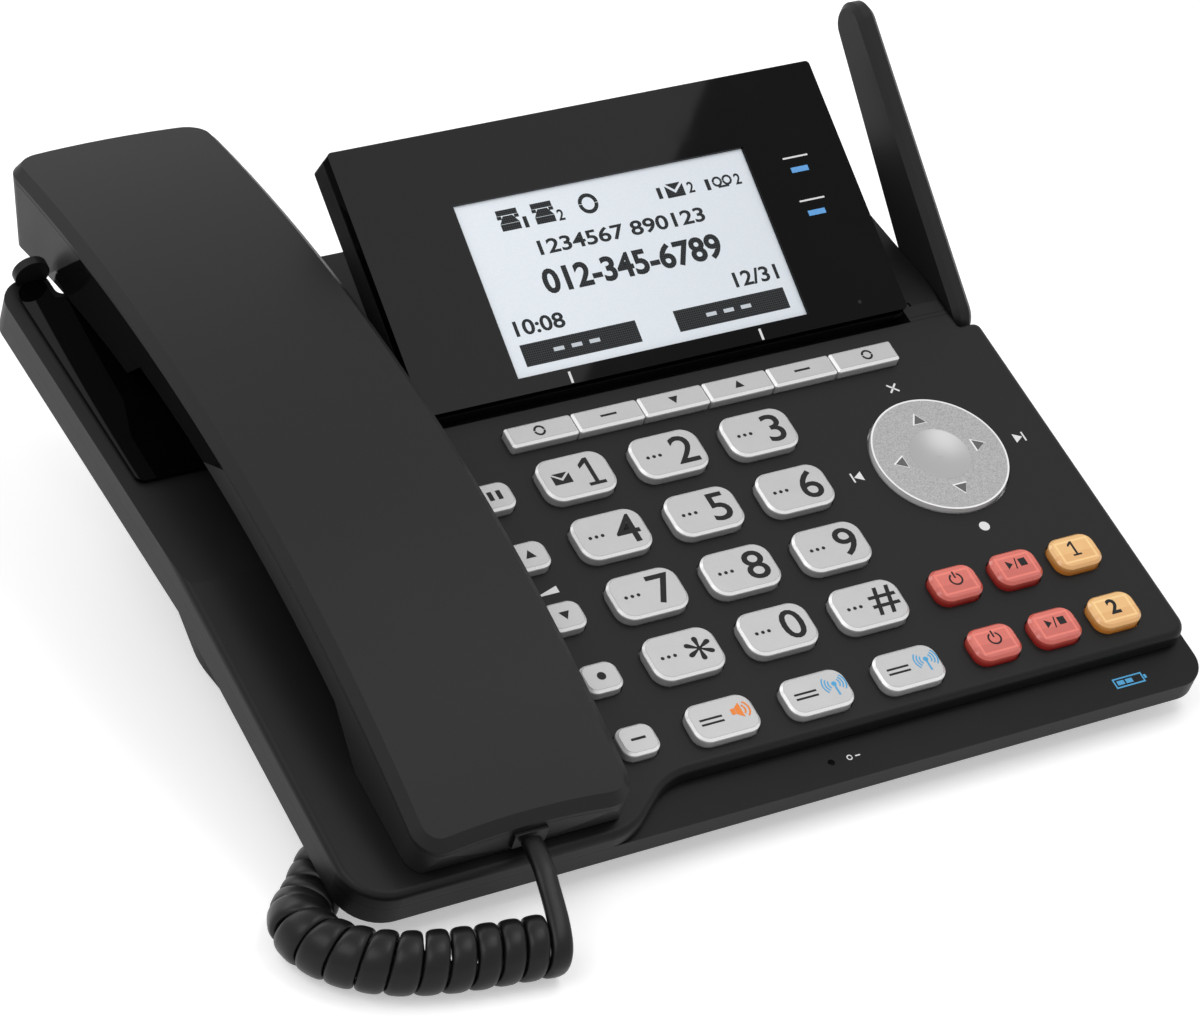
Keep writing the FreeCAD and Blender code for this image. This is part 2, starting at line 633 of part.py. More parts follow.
def rear_corners(right):
    """Corners of the housings' plan behind the deck: antenna notch, cradle and rear left shoulder."""
    line, corner = size("cradle_line"), size("rear_corner")
    return [
        (right, size("notch_y"), corner / 2),
        (notch_x(), size("notch_y"), size("notch_corner")),
        (notch_x(), size("deck_rear"), corner),
        (line, size("deck_rear"), corner / 2),
        (line, size("cradle_rear"), corner),
        (shoulder_x(), size("cradle_rear"), corner / 2),
        (shoulder_x(), size("shoulder_rear"), corner / 2),
        (size("base_left"), size("shoulder_rear"), size("shoulder_corner")),
    ]


def upper_outline():
    """Plan of the upper housing, with the step back of its front edge."""
    left, right = size("base_left"), size("base_right")
    return rounded_wire([
        (left, size("base_front"), size("front_corner")),
        (size("curve_left"), size("base_front"), size("curve_radius")),
        (size("curve_right"), size("deck_front"), size("curve_radius")),
        (right, size("deck_front"), size("deck_corner")),
    ] + rear_corners(right))


def lower_outline():
    """Plan of the lower housing, whose front edge runs straight across as a lip."""
    left = size("base_left")
    right = size("base_right") + size("side_ledge")
    return rounded_wire([
        (left, size("base_front"), size("front_corner")),
        (right, size("base_front"), size("lip_corner")),
    ] + rear_corners(right))


def inset(wire, amount):
    """The same outline, moved inwards."""
    return wire.makeOffset2D(-amount)


def column(wire):
    """Upright block over a plan outline, through the whole height of the housings."""
    return upright(wire, -REACH / 2, REACH / 2)


def parting():
    return evaluate(PARTING)


def underside():
    return parting() - size("lower_height")


def rear_frame():
    """Deck-frame placement of the parting plane behind the bend."""
    return FreeCAD.Placement(Vector(0, size("bend_line"), parting()),
                             FreeCAD.Rotation(Vector(1, 0, 0), -size("rear_bend")))


def screw_places():
    """Placements of the screws' axes at the parting plane, +Z up."""
    offset = size("screw_inset")
    left, right = size("base_left") + offset, size("base_right") - offset
    line = size("cradle_line")
    front = FreeCAD.Placement(Vector(0, 0, parting()), FreeCAD.Rotation())
    rear = rear_frame()
    places = []
    between_lit_rows = size("lit_y") - size("lit_pitch_y") / 2
    for x, y in ((left, size("base_front") + offset), (line - offset, size("base_front") + offset),
                 (right + offset / 2, between_lit_rows)):
        places.append(front.multiply(FreeCAD.Placement(Vector(x, y, 0), FreeCAD.Rotation())))
    for x, y in ((left, size("cradle_rear") - offset), (line + offset, size("deck_rear") - offset),
                 (notch_x() - offset, size("deck_rear") - offset)):
        along = (y - size("bend_line")) / math.cos(math.radians(size("rear_bend")))
        places.append(rear.multiply(FreeCAD.Placement(Vector(x, along, 0), FreeCAD.Rotation())))
    return places


def at(placement, shape):
    """A copy of a shape, placed."""
    copy = shape.copy()
    copy.Placement = placement
    return copy


def hinge_centre():
    """Deck (y, z) of the display's hinge axis."""
    tilt = math.radians(size("display_tilt"))
    depth = (size("bezel_thick") + size("case_thick")) / 2
    up = size("hinge_up")
    y = size("display_y") + up * math.cos(tilt) + depth * math.sin(tilt)
    z = size("display_z") + up * math.sin(tilt) - depth * math.cos(tilt)
    return y, z


def display_pocket(extra, overlap):
    """Room for the display's foot: a trough about the hinge and a wedge behind it."""
    y, z = hinge_centre()
    left = size("display_left") - size("gap") - overlap
    width = size("display_width") + 2 * (size("gap") + overlap)
    half = (size("bezel_thick") + size("case_thick")) / 2
    corner = math.hypot(half, size("hinge_up"))
    trough = rod(left, y, z, corner + size("gap") + extra, width)
    low = math.radians(size("display_tilt") - size("tilt_back"))
    down = half + size("gap") + extra
    along = Vector(0, math.cos(low), math.sin(low))
    foot = Vector(0, y + down * math.sin(low), z - down * math.cos(low))
    reach = foot + along * size("display_height")
    wedge = across([(y, z), (foot.y, foot.z), (reach.y, reach.z), (y, reach.z)], left, left + width)
    return trough.fuse(wedge)


def antenna_bore():
    """Hole for the antenna's pin through the upper housing's notch wall."""
    return rod(notch_x() - 1.5 * size("wall"), size("antenna_y"), size("antenna_z"),
               size("antenna_pin") + size("slide_gap"), 2 * size("wall"))


def cradle_lug():
    """Small rounded lug that stands on the rear left shoulder."""
    return Part.makeCylinder(size("lug_radius"), size("lug_thick"),
                             Vector(size("lug_x"), size("shoulder_rear") - size("lug_thick"),
                                    size("lug_level")), Vector(0, 1, 0))


def upper_block(lowered):
    """Housing volume over the parting plane, its top skin lowered by an amount."""
    top = size("deck_level") - lowered
    step = size("wall") if lowered else 0
    deck_zone = below(top, size("deck_bend"), size("cradle_line") + step)
    everywhere = below(top, size("bend_line"))
    return deck_zone.fuse(everywhere)


def upper_housing():
    """Top half of the housing: deck skin with key openings, pocket for the display's foot."""
    outline = upper_outline()
    block = column(outline).common(upper_block(0)).cut(below(parting(), size("bend_line")))
    cavity = column(inset(outline, size("wall"))).common(upper_block(size("skin")))
    cavity = cavity.common(upper_block(0)).cut(below(parting() - 1, size("bend_line")))
    boss = Part.makeCylinder(size("boss_radius") - size("gap"), REACH / 10)
    posts = [at(place, boss) for place in screw_places()]
    pocket_wall = display_pocket(size("floor_skin") - size("gap"), size("floor_skin"))
    shell = rounded_top(block, outline).cut(cavity.cut(posts + [pocket_wall]))
    hole_length = size("upper_height") - size("skin") / 2
    hole = Part.makeCylinder(size("screw_radius") + size("slide_gap"), hole_length)
    pilots = [at(place, hole) for place in screw_places()]
    dial_hole = Part.makeCylinder(size("dial_radius") + size("dial_gap"), REACH / 20,
                                  Vector(size("dial_x"), size("dial_y"), parting()))
    cuts = key_openings() + pilots + [dial_hole, display_pocket(0, 0), hinge_bores(), antenna_bore(),
                                      hook_slot()]
    lug = cradle_lug().cut(below(parting(), size("bend_line")))
    return add_feature("upper_housing", shell.cut(cuts).fuse(lug).removeSplitter())


def rounded_top(block, outline):
    """The block with its flat top edges rounded along the outline."""
    level = size("deck_level")

    def on_rim(edge):
        flat = all(abs(vertex.Z - level) < 1e-6 for vertex in edge.Vertexes)
        middle = edge.valueAt((edge.FirstParameter + edge.LastParameter) / 2)
        return flat and outline.distToShape(Part.Vertex(middle.x, middle.y, 0))[0] < 1e-4

    return block.makeFillet(size("top_round"), [edge for edge in block.Edges if on_rim(edge)])


def hinge_bores():
    """Blind bores for the display's hinge pins."""
    y, z = hinge_centre()
    length = size("hinge_length") + 2 * size("gap")
    left = size("display_left") - length
    return rod(left, y, z, size("hinge_pin") + size("slide_gap"), size("display_width") + 2 * length)


def hook_slot():
    """Opening for the hook button through the cradle."""
    clear = size("key_gap")
    return Part.makeBox(size("hook_width") + 2 * clear, size("hook_depth") + 2 * clear, REACH,
                        Vector(size("hook_x") - size("hook_width") / 2 - clear,
                               size("hook_y") - size("hook_depth") / 2 - clear, -REACH / 2))


def lower_housing():
    """Bottom half of the housing: tray with the lip in front, screw bosses and board seats."""
    outline = lower_outline()
    block = column(outline).common(below(parting(), size("bend_line")))
    block = block.cut(below(underside(), size("bend_line")))
    over_floor = column(outline).cut(below(underside() + size("floor_skin"), size("bend_line")))
    open_part = column(inset(upper_outline(), size("wall"))).common(over_floor)
    under_lip = below(parting() - size("skin"), size("bend_line")).common(over_floor)
    shell = block.cut([open_part, under_lip.common(column(inset(outline, size("wall"))))])
    boss = Part.makeCylinder(size("boss_radius"), REACH / 10, Vector(0, 0, -REACH / 10))
    bosses = [at(place, boss).common(block) for place in screw_places()]
    shell = shell.fuse(bosses + board_seats())
    cuts = [at(place, screw_hole()) for place in screw_places()]
    mic_hole = Part.makeCylinder(size("base_mic_hole"), size("skin") * 2,
                                 Vector(size("base_mic_x"), size("base_mic_y"), parting() - size("skin")))
    cuts += [mic_hole, usb_block(size("slide_gap"))] + stand_tabs(size("slide_gap"))
    return add_feature("lower_housing", shell.cut(cuts).removeSplitter())


def screw_hole():
    """Through hole and head recess of a screw, below the parting plane."""
    depth = size("lower_height")
    shank = Part.makeCylinder(size("screw_radius") + size("gap"), depth + 1, Vector(0, 0, -depth))
    sink = size("head_height") + size("gap")
    head = Part.makeCylinder(size("screw_head") + size("gap"), 2 * sink, Vector(0, 0, -depth - sink))
    return shank.fuse(head)


def board_corners():
    """Left, right, front and rear of the main board in the deck frame."""
    edge = size("board_inset")
    left = size("cradle_line") + size("wall") + size("gap")
    return (left, size("base_right") - edge, size("deck_front") + edge, size("board_rear"))


def board_seats():
    """Pads on the lower floor that carry the main board."""
    left, right, front, rear = board_corners()
    floor = underside() + size("floor_skin")
    inset_x = size("seat_inset")
    seats = []
    for x in (left + inset_x, (left + right) / 2, right - inset_x):
        for y in (front + size("seat_front"), (front + rear) / 2):
            seats.append(Part.makeCylinder(size("seat_radius"), size("board_seat") + size("floor_skin") / 2,
                                           Vector(x, y, floor - size("floor_skin") / 2)))
    return seats


def housing_screws():
    """Screws that close the housing from below, driven up to the parting plane and past it."""
    depth = size("lower_height")
    sink = size("head_height") + size("gap")
    length = depth - sink + size("upper_height") - size("skin")
    screw = Part.makeCylinder(size("screw_radius"), length + size("head_height"),
                              Vector(0, 0, -depth + size("gap")))
    head = Part.makeCylinder(size("screw_head"), size("head_height"), Vector(0, 0, -depth + size("gap")))
    recess = Part.makeBox(2 * size("screw_radius"), size("gap"), size("head_height") / 2,
                          Vector(-size("screw_radius"), -size("gap") / 2, -depth + size("gap")))
    slotted = screw.fuse(head).cut(recess).removeSplitter()
    return add_feature("housing_screws", Part.makeCompound([at(place, slotted) for place in screw_places()]))


# ---------------------------------------------------------------- board, mat, socket, microphone

def main_board():
    """Main circuit board under the deck, cut away round the screw bosses."""
    left, right, front, rear = board_corners()
    low = evaluate(BOARD_TOP) - size("board_thick")
    board = Part.makeBox(right - left, rear - front, size("board_thick"), Vector(left, front, low))
    clear = Part.makeCylinder(size("boss_radius") + size("gap"), REACH / 10, Vector(0, 0, -REACH / 20))
    cuts = [at(place, clear) for place in screw_places()]
    cuts += [usb_block(size("gap")), notch_room(size("wall") + size("gap"))]
    return add_feature("main_board", board.cut(cuts).removeSplitter())


def notch_room(clear):
    """Upright block over the antenna's notch, larger by a clearance."""
    return Part.makeBox(REACH, REACH, REACH, Vector(notch_x() - clear, size("notch_y") - clear, -REACH / 2))


def keypad_membrane():
    """Rubber mat with the contact domes, between the board and the keys."""
    left, right, front, rear = board_corners()
    edge = size("board_inset")
    mat = Part.makeBox(right - left - 2 * edge, rear - front - edge, size("membrane_thick"),
                       Vector(left + edge, front, evaluate(BOARD_TOP)))
    clear = Part.makeCylinder(size("boss_radius") + size("gap"), REACH / 10, Vector(0, 0, -REACH / 20))
    return add_feature("keypad_membrane", mat.cut([at(place, clear) for place in screw_places()]))


def usb_block(clear):
    """Outer block of the charging socket in the right wall of the lower housing."""
    edge = clear + size("usb_wall")
    width, height = size("usb_width") + 2 * edge, size("usb_height") + 2 * edge
    right = size("base_right") + size("side_ledge")
    low = underside() + size("floor_skin") - clear
    return Part.makeBox(size("usb_depth") + clear, width, height,
                        Vector(right - size("usb_depth") - clear, size("usb_y") - width / 2, low))


def usb_socket():
    """Charging socket: a shell with a tongue."""
    wall = size("usb_wall")
    inner = size("base_right") + size("side_ledge") - size("usb_depth")
    front = size("usb_y") - size("usb_width") / 2
    low = underside() + size("floor_skin") + wall
    mouth = Part.makeBox(size("usb_depth"), size("usb_width"), size("usb_height"),
                         Vector(inner + wall, front, low))
    tongue = Part.makeBox(size("usb_depth") - wall, size("usb_width") - 4 * wall, size("usb_height") / 3,
                          Vector(inner + wall / 2, front + 2 * wall, low + size("usb_height") / 3))
    return add_feature("usb_socket", usb_block(0).cut(mouth).fuse(tongue).removeSplitter())


def base_microphone():
    """Hands-free microphone under the hole in the lip."""
    width, depth = size("base_mic_size"), size("base_mic_depth")
    block = Part.makeBox(width, depth, size("base_mic_height"),
                         Vector(size("base_mic_x") - width / 2, size("base_mic_y") - depth / 2,
                                parting() - size("skin") - size("base_mic_height")))
    return add_feature("base_microphone", block)


# ---------------------------------------------------------------- display

LENS_LEFT = "(<display_width> - <lens_right>)"
WINDOW_WIDTH = "(<display_width> - <window_left> - <window_right>)"


def display_bezel():
    """Front frame of the display with the window and the two indicator slots."""
    body = doc.addObject("PartDesign::Body", "display_bezel")
    plan = new_sketch(body, "bezel_plan", "-<bezel_thick>")
    draw_rectangle(plan, "outer", "<display_width>", "<display_height>", "0", "0")
    draw_rectangle(plan, "window", WINDOW_WIDTH, "<window_height>", "<window_left>", "<window_low>")
    for number in range(2):
        draw_rectangle(plan, f"lens_{number}", "<lens_width>", "<lens_height>", LENS_LEFT,
                       f"<lens_low> + {number} * <lens_pitch>")
    slab = pad(body, "bezel_slab", plan, "<bezel_thick>")
    width, height = size("display_width"), size("display_height")

    def outer_upright(edge):
        first, last = edge.Vertexes[0].Point, edge.Vertexes[-1].Point
        corner = min(abs(first.x), abs(first.x - width)) < 1e-6
        end = min(abs(first.y), abs(first.y - height)) < 1e-6
        return corner and end and abs(first.z - last.z) > 1e-6

    dress(body, "Fillet", "bezel_corners", slab, outer_upright, "Radius", "<display_corner>")
    place_on_display(body)
    return finish(body, "display_bezel")


def case_wire(shrink):
    """Outline of the display case in the display's own frame."""
    low, left = shrink, shrink
    right, high = size("display_width") - shrink, size("display_height") - shrink
    corner = max(size("display_corner") - shrink, size("case_groove"))
    return rounded_wire([(left, low, corner), (right, low, corner),
                         (right, high, corner), (left, high, corner)])


def display_case():
    """Rear case of the display: tray with a rounded foot and two hinge pins."""
    back = -size("bezel_thick") - size("case_thick")
    front = -size("bezel_thick")
    groove = size("case_groove")
    outer = upright(case_wire(0), back, front - groove).fuse(upright(case_wire(groove), back, front))
    half = (size("bezel_thick") + size("case_thick")) / 2
    foot = rod(0, size("hinge_up"), -half, half, size("display_width"))
    above_axis = Part.makeBox(size("display_width"), size("display_height"), half + 1,
                              Vector(0, size("hinge_up"), -half * 2))
    near_face = Part.makeBox(size("display_width"), size("display_height"), half, Vector(0, 0, -half))
    outer = outer.common(above_axis.fuse([foot, near_face]))
    hollow = upright(case_wire(size("case_wall") + groove), back + size("case_wall"), front + 1)
    reach = size("hinge_length")
    pin = rod(-reach, size("hinge_up"), -half, size("hinge_pin"), size("display_width") + 2 * reach)
    inner_pin = Part.makeBox(size("display_width") - 2 * size("case_wall") - 2 * groove, half * 2, half * 2,
                             Vector(size("case_wall") + groove, size("hinge_up") - half, -2 * half))
    shape = outer.cut(hollow).fuse(pin.cut(inner_pin)).removeSplitter()
    piece = doc.addObject("Part::Feature", "display_case")
    piece.Shape = shape
    place_on_display(piece)
    return finish(piece, "display_case")


def lcd_module():
    """Liquid crystal module behind the window, its glass standing into the window."""
    glass = primitive("Box", "LcdGlass", Length=f"{WINDOW_WIDTH} - 2 * <slide_gap>",
                      Width="<window_height> - 2 * <slide_gap>",
                      Height="<bezel_thick> - <window_sink> + <slide_gap>")
    place_at(glass, "<window_left> + <slide_gap>", "<window_low> + <slide_gap>",
             "-(<bezel_thick> + <slide_gap>)")
    backing = primitive("Box", "LcdBacking", Length=f"{WINDOW_WIDTH} + 2 * <case_wall>",
                        Width="<window_height> + <case_wall>",
                        Height="<case_thick> - <case_wall> - <slide_gap>")
    place_at(backing, "<window_left> - <case_wall>", "<window_low>",
             "-(<bezel_thick> + <case_thick> - <case_wall>)")
    piece = fused("lcd_module", [glass, backing])
    place_on_display(piece)
    return finish(piece, "lcd_module")


def indicator_lenses():
    """Two clear bars in the bezel's slots, with a flange behind it."""
    lenses = []
    for number in range(2):
        bar = primitive("Box", f"LensBar{number}", Length="<lens_width> - 2 * <slide_gap>",
                        Width="<lens_height> - 2 * <slide_gap>", Height="<bezel_thick>")
        place_at(bar, f"{LENS_LEFT} + <slide_gap>",
                 f"<lens_low> + {number} * <lens_pitch> + <slide_gap>", "-<bezel_thick>")
        root = primitive("Box", f"LensRoot{number}", Length="<lens_width> + 2 * <case_groove>",
                         Width="<lens_height> + 2 * <case_groove>", Height="<case_groove>")
        place_at(root, f"{LENS_LEFT} - <case_groove>",
                 f"<lens_low> + {number} * <lens_pitch> - <case_groove>",
                 "-(<bezel_thick> + <case_groove>)")
        lenses += [bar, root]
    piece = fused("indicator_lenses", lenses)
    place_on_display(piece)
    return finish(piece, "indicator_lenses")


# ---------------------------------------------------------------- antenna

def belt(circles):
    """Wire round circles (y, z, radius) in the plane x = 0, taken anticlockwise."""
    centres = [Vector(0, y, z) for y, z, _ in circles]
    radii = [radius for _, _, radius in circles]
    count = len(circles)
    normals = []
    for number in range(count):
        following = (number + 1) % count
        way = centres[following] - centres[number]
        lean = (radii[number] - radii[following]) / way.Length
        way.normalize()
        normals.append(Vector(0, way.z, -way.y) * math.sqrt(1 - lean ** 2) + way * lean)
    edges = []
    for number in range(count):
        following = (number + 1) % count
        centre, radius = centres[following], radii[following]
        enter, leave = normals[number], normals[following]
        middle = (enter + leave).normalize()
        end = centre + enter * radius
        edges.append(Part.LineSegment(centres[number] + enter * radii[number], end).toShape())
        edges.append(Part.Arc(end, centre + middle * radius, centre + leave * radius).toShape())
    return Part.Wire(edges)


def antenna():
    """Blade antenna with its hub and root, and the headed pin that turns in the notch's wall."""
    wide = size("antenna_wide")
    tip = size("tip_radius")
    profile = belt([(0, 0, size("antenna_hub")),
                    (size("root_along"), -size("root_behind"), size("root_radius")),
                    (size("antenna_length") - tip, size("antenna_hub") - tip, tip)])
    body = Part.Face(profile).extrude(Vector(wide, 0, 0))
    sides = [edge for edge in body.Edges if edge.BoundBox.XLength < 1e-6]
    body = body.makeChamfer(size("antenna_bevel"), sides)
    inner = -(size("gap") + size("wall") + size("pin_head_thick"))
    pin = rod(inner, 0, 0, size("antenna_pin"), wide / 2 - inner)
    head = rod(inner - size("slide_gap"), 0, 0, size("pin_head"), size("pin_head_thick"))
    piece = doc.addObject("Part::Feature", "antenna")
    piece.Shape = body.fuse([pin, head]).removeSplitter()
    place_on_deck(piece, "<base_right> - <antenna_wide>", "<antenna_y>", "<antenna_z>", "<antenna_angle>")
    return finish(piece, "antenna")


# ---------------------------------------------------------------- handset

def arc_point(radius, angle):
    """Deck (0, y, z) at a radius and an angle about the handset's arc centre."""
    turn = math.radians(angle)
    return Vector(0, size("arc_y") + radius * math.sin(turn), size("arc_z") + radius * math.cos(turn))


def arc_edge(radius, first, last):
    """Arc about the handset's arc centre, in the plane x = 0."""
    return Part.Arc(arc_point(radius, first), arc_point(radius, (first + last) / 2),
                    arc_point(radius, last)).toShape()


def angle_at(radius, y):
    """Angle of a deck y on an arc about the handset's arc centre."""
    return math.degrees(math.asin((y - size("arc_y")) / radius))


def crown_edges(radius, first, rear):
    """Top line of the handset at an arc radius: the main arc and the flatter one behind it.

    It runs from an angle of the main arc to a deck y at the rear. Both arcs share a tangent
    where they meet, and every level of the crown has the same two centres.
    """
    start = size("crown_start")
    spread = size("crown_radius") - size("cover_radius")
    centre = arc_point(-spread, start)
    outer = radius + spread

    def rear_point(turn):
        return centre + Vector(0, math.sin(turn), math.cos(turn)) * outer

    last = math.asin((rear - centre.y) / outer)
    middle = (math.radians(start) + last) / 2
    rear_arc = Part.Arc(arc_point(radius, start), rear_point(middle), rear_point(last))
    return [arc_edge(radius, first, start), rear_arc.toShape()], rear_point(last)


def under_crown(radius):
    """Everything under the crown at an arc radius."""
    start, rear = CROWN_SPAN
    edges, last = crown_edges(radius, start, rear)
    first = arc_point(radius, start)
    low = size("arc_z") + REACH / 2
    foot = [last, Vector(0, last.y, low), Vector(0, first.y, low), first]
    edges += [Part.LineSegment(*pair).toShape() for pair in zip(foot, foot[1:])]
    face = Part.Face(Part.Wire(edges))
    face.translate(Vector(-REACH, 0, 0))
    return face.extrude(Vector(2 * REACH, 0, 0))


def handset_side(shrink):
    """Side view of the handset in the plane x = 0, moved inwards, its rear end left long."""
    cover = size("cover_radius") - shrink
    handle, ear = size("handle_radius") + shrink, size("ear_radius") + shrink
    mouth = size("mouth_level") + shrink
    front = size("handset_front") + math.degrees(shrink / cover)
    rear = size("plan_rear") + size("handset_width") / 2
    ear_slope = math.atan2(handle - ear, math.radians(size("ear_ramp")) * ear)
    ear_front = size("ear_angle") + math.degrees(shrink * math.tan(ear_slope / 2) / ear)
    handle_rear = ear_front - size("ear_ramp")
    ramp_top = arc_point(handle, angle_at(handle, size("ramp_high")))
    mouth_slope = math.atan2(ramp_top.z - mouth, size("ramp_high") - size("ramp_low"))
    ramp_shift = shrink * math.tan(mouth_slope / 2)
    handle_front = angle_at(handle, size("ramp_high") - ramp_shift)
    low_ramp = Vector(0, size("ramp_low") - ramp_shift, mouth)
    low_front = arc_point((mouth - size("arc_z")) / math.cos(math.radians(front)), front)
    crown, crown_rear = crown_edges(cover, front, rear)
    ear_rear = angle_at(ear, rear)
    edges = crown + [
        Part.LineSegment(crown_rear, arc_point(ear, ear_rear)).toShape(),
        arc_edge(ear, ear_rear, ear_front),
        Part.LineSegment(arc_point(ear, ear_front), arc_point(handle, handle_rear)).toShape(),
        arc_edge(handle, handle_rear, handle_front),
        Part.LineSegment(arc_point(handle, handle_front), low_ramp).toShape(),
        Part.LineSegment(low_ramp, low_front).toShape(),
        Part.LineSegment(low_front, arc_point(cover, front)).toShape(),
    ]
    return Part.Wire(edges)


def handset_plan(shrink, front_spare=0, rear_spare=0):
    """Plan of the handset, moved inwards: hollow front edge, bulging rear edge, round corners.

    Either end can be moved out by a spare length.
    """
    half = size("handset_width") / 2
    middle = size("handset_left") + half
    front = size("plan_front") + size("front_hollow") - front_spare
    ends = ((front, size("front_hollow"), size("handset_corner"), 1),
            (size("plan_rear") + rear_spare, size("rear_bulge"), size("ear_corner"), -1))
    rounds = []
    bows = []
    for apex, sag, corner, side in ends:
        radius = (half ** 2 + sag ** 2) / (2 * sag)
        centre = Vector(middle, apex - radius, 0)
        bows.append(Vector(middle, apex + side * shrink, 0))
        reach = radius + side * corner
        rounding = corner - shrink
        for hand in (-1, 1):
            across_end = hand * (half - corner)
            spot = centre + Vector(across_end, math.sqrt(reach ** 2 - across_end ** 2), 0)
            to_end = (centre - spot) * (side / reach)
            to_side = Vector(hand, 0, 0)
            between = (to_end + to_side).normalize()
            rounds.append([spot + way * rounding for way in (to_side, between, to_end)])
    left_front, right_front, left_rear, right_rear = rounds
    curves = [
        Part.Arc(*left_front),
        Part.Arc(left_front[2], bows[0], right_front[2]),
        Part.Arc(*right_front),
        Part.LineSegment(right_front[0], right_rear[0]),
        Part.Arc(*right_rear),
        Part.Arc(right_rear[2], bows[1], left_rear[2]),
        Part.Arc(*left_rear),
        Part.LineSegment(left_rear[0], left_front[0]),
    ]
    return Part.Wire([curve.toShape() for curve in curves])


def handset_block(shrink):
    """Volume of the handset, moved inwards by an amount all round."""
    face = Part.Face(handset_side(shrink))
    face.translate(Vector(-REACH, 0, 0))
    block = face.extrude(Vector(2 * REACH, 0, 0)).common(column(handset_plan(shrink, 0, REACH / 2)))
    slant = math.radians(size("rear_slant"))
    generatrix = Vector(0, math.sin(slant), math.cos(slant)) * REACH
    _, crown_rear = crown_edges(size("cover_radius"), size("handset_front"), size("plan_rear"))
    plan = Part.Face(handset_plan(shrink, REACH, 0))
    plan.translate(Vector(0, 0, crown_rear.z) - generatrix / 2)
    return block.common(plan.extrude(generatrix))


def arc_drum(radius):
    """Cylinder about the handset's arc axis."""
    return rod(-REACH, size("arc_y"), size("arc_z"), radius, 2 * REACH)


def handset_cover():
    """Top cover of the handset, bevelled all round."""
    block = handset_block(0)
    crown = under_crown(size("cover_radius")).Shells[0]

    def on_rim(edge):
        middle = edge.valueAt((edge.FirstParameter + edge.LastParameter) / 2)
        on_crown = crown.distToShape(Part.Vertex(middle))[0] < 1e-4
        return on_crown and edge.BoundBox.YLength > 1e-4

    cover = block.cut(under_crown(size("seam_radius")))
    bevelled = cover.makeChamfer(size("handset_bevel"), [edge for edge in cover.Edges if on_rim(edge)])
    hollow = handset_block(size("handset_wall"))
    return add_feature("handset_cover", bevelled.cut(hollow).removeSplitter())


def handset_shell():
    """Lower shell of the handset: handle, ear block and mouth block."""
    block = handset_block(0).common(under_crown(size("seam_radius") - size("seam_gap")))
    shell = block.cut(handset_block(size("handset_wall")))
    shell = shell.cut([plug_block(size("slide_gap"))] + sound_holes())
    return add_feature("handset_shell", shell.removeSplitter())


def receiver_place():
    """Deck-frame placement on the ear block's inner floor, +Z towards the cover."""
    angle = size("receiver_angle")
    spot = arc_point(size("ear_radius") + size("handset_wall"), angle)
    spot.x = size("handset_left") + size("handset_width") / 2
    return FreeCAD.Placement(spot, FreeCAD.Rotation(Vector(1, 0, 0), -angle))


def sound_holes():
    """Ring of small holes under the ear capsule and one under the microphone."""
    radius = size("base_mic_hole")
    depth = 3 * size("handset_wall")
    count = 8
    holes = []
    for number in range(count):
        turn = 2 * math.pi * number / count
        spot = Vector(math.cos(turn), math.sin(turn), 0) * size("receiver_ring")
        hole = Part.makeCylinder(radius, depth, spot - Vector(0, 0, depth - size("handset_wall") / 2))
        holes.append(at(receiver_place(), hole))
    middle = size("handset_left") + size("handset_width") / 2
    below_mouth = Vector(middle, size("mic_y"), size("mouth_level") - depth / 2)
    holes.append(Part.makeCylinder(radius, depth, below_mouth))
    return holes


def receiver_capsule():
    """Ear capsule on the ear block's floor."""
    rim = primitive("Cylinder", "ReceiverRim", Radius="<receiver_radius>", Height="<receiver_height>")
    dome = primitive("Cylinder", "ReceiverDome", Radius="<receiver_radius> / 2",
                     Height="<receiver_height> + <flange_edge>")
    piece = fused("receiver_capsule", [rim, dome])
    seat = "(<ear_radius> + <handset_wall> + <slide_gap>)"
    place_on_deck(piece, "<handset_left> + <handset_width> / 2",
                  f"<arc_y> + {seat} * sin(<receiver_angle>)", f"<arc_z> + {seat} * cos(<receiver_angle>)",
                  "-<receiver_angle>")
    return finish(piece, "receiver_capsule")


def handset_microphone():
    """Microphone capsule on the mouth block's floor."""
    middle = size("handset_left") + size("handset_width") / 2
    base = Vector(middle, size("mic_y"), size("mouth_level") + size("handset_wall"))
    return add_feature("handset_microphone", Part.makeCylinder(size("mic_radius"), size("mic_height"), base))


def plug_block(clear):
    """Block of the cord plug in the handset's front end, larger by a clearance."""
    width = size("plug_width") + 2 * clear
    height = size("plug_height") + 2 * clear
    front = size("plan_front") + size("front_hollow") - size("plug_out") - clear
    return Part.makeBox(width, size("plug_depth") + 2 * clear, height,
                        Vector(size("plug_x") - width / 2, front, size("plug_level") - clear))


def cord_plug():
    """Plug of the handset cord, seated in the front of the handset."""
    return add_feature("cord_plug", plug_block(0))


# ---------------------------------------------------------------- cradle

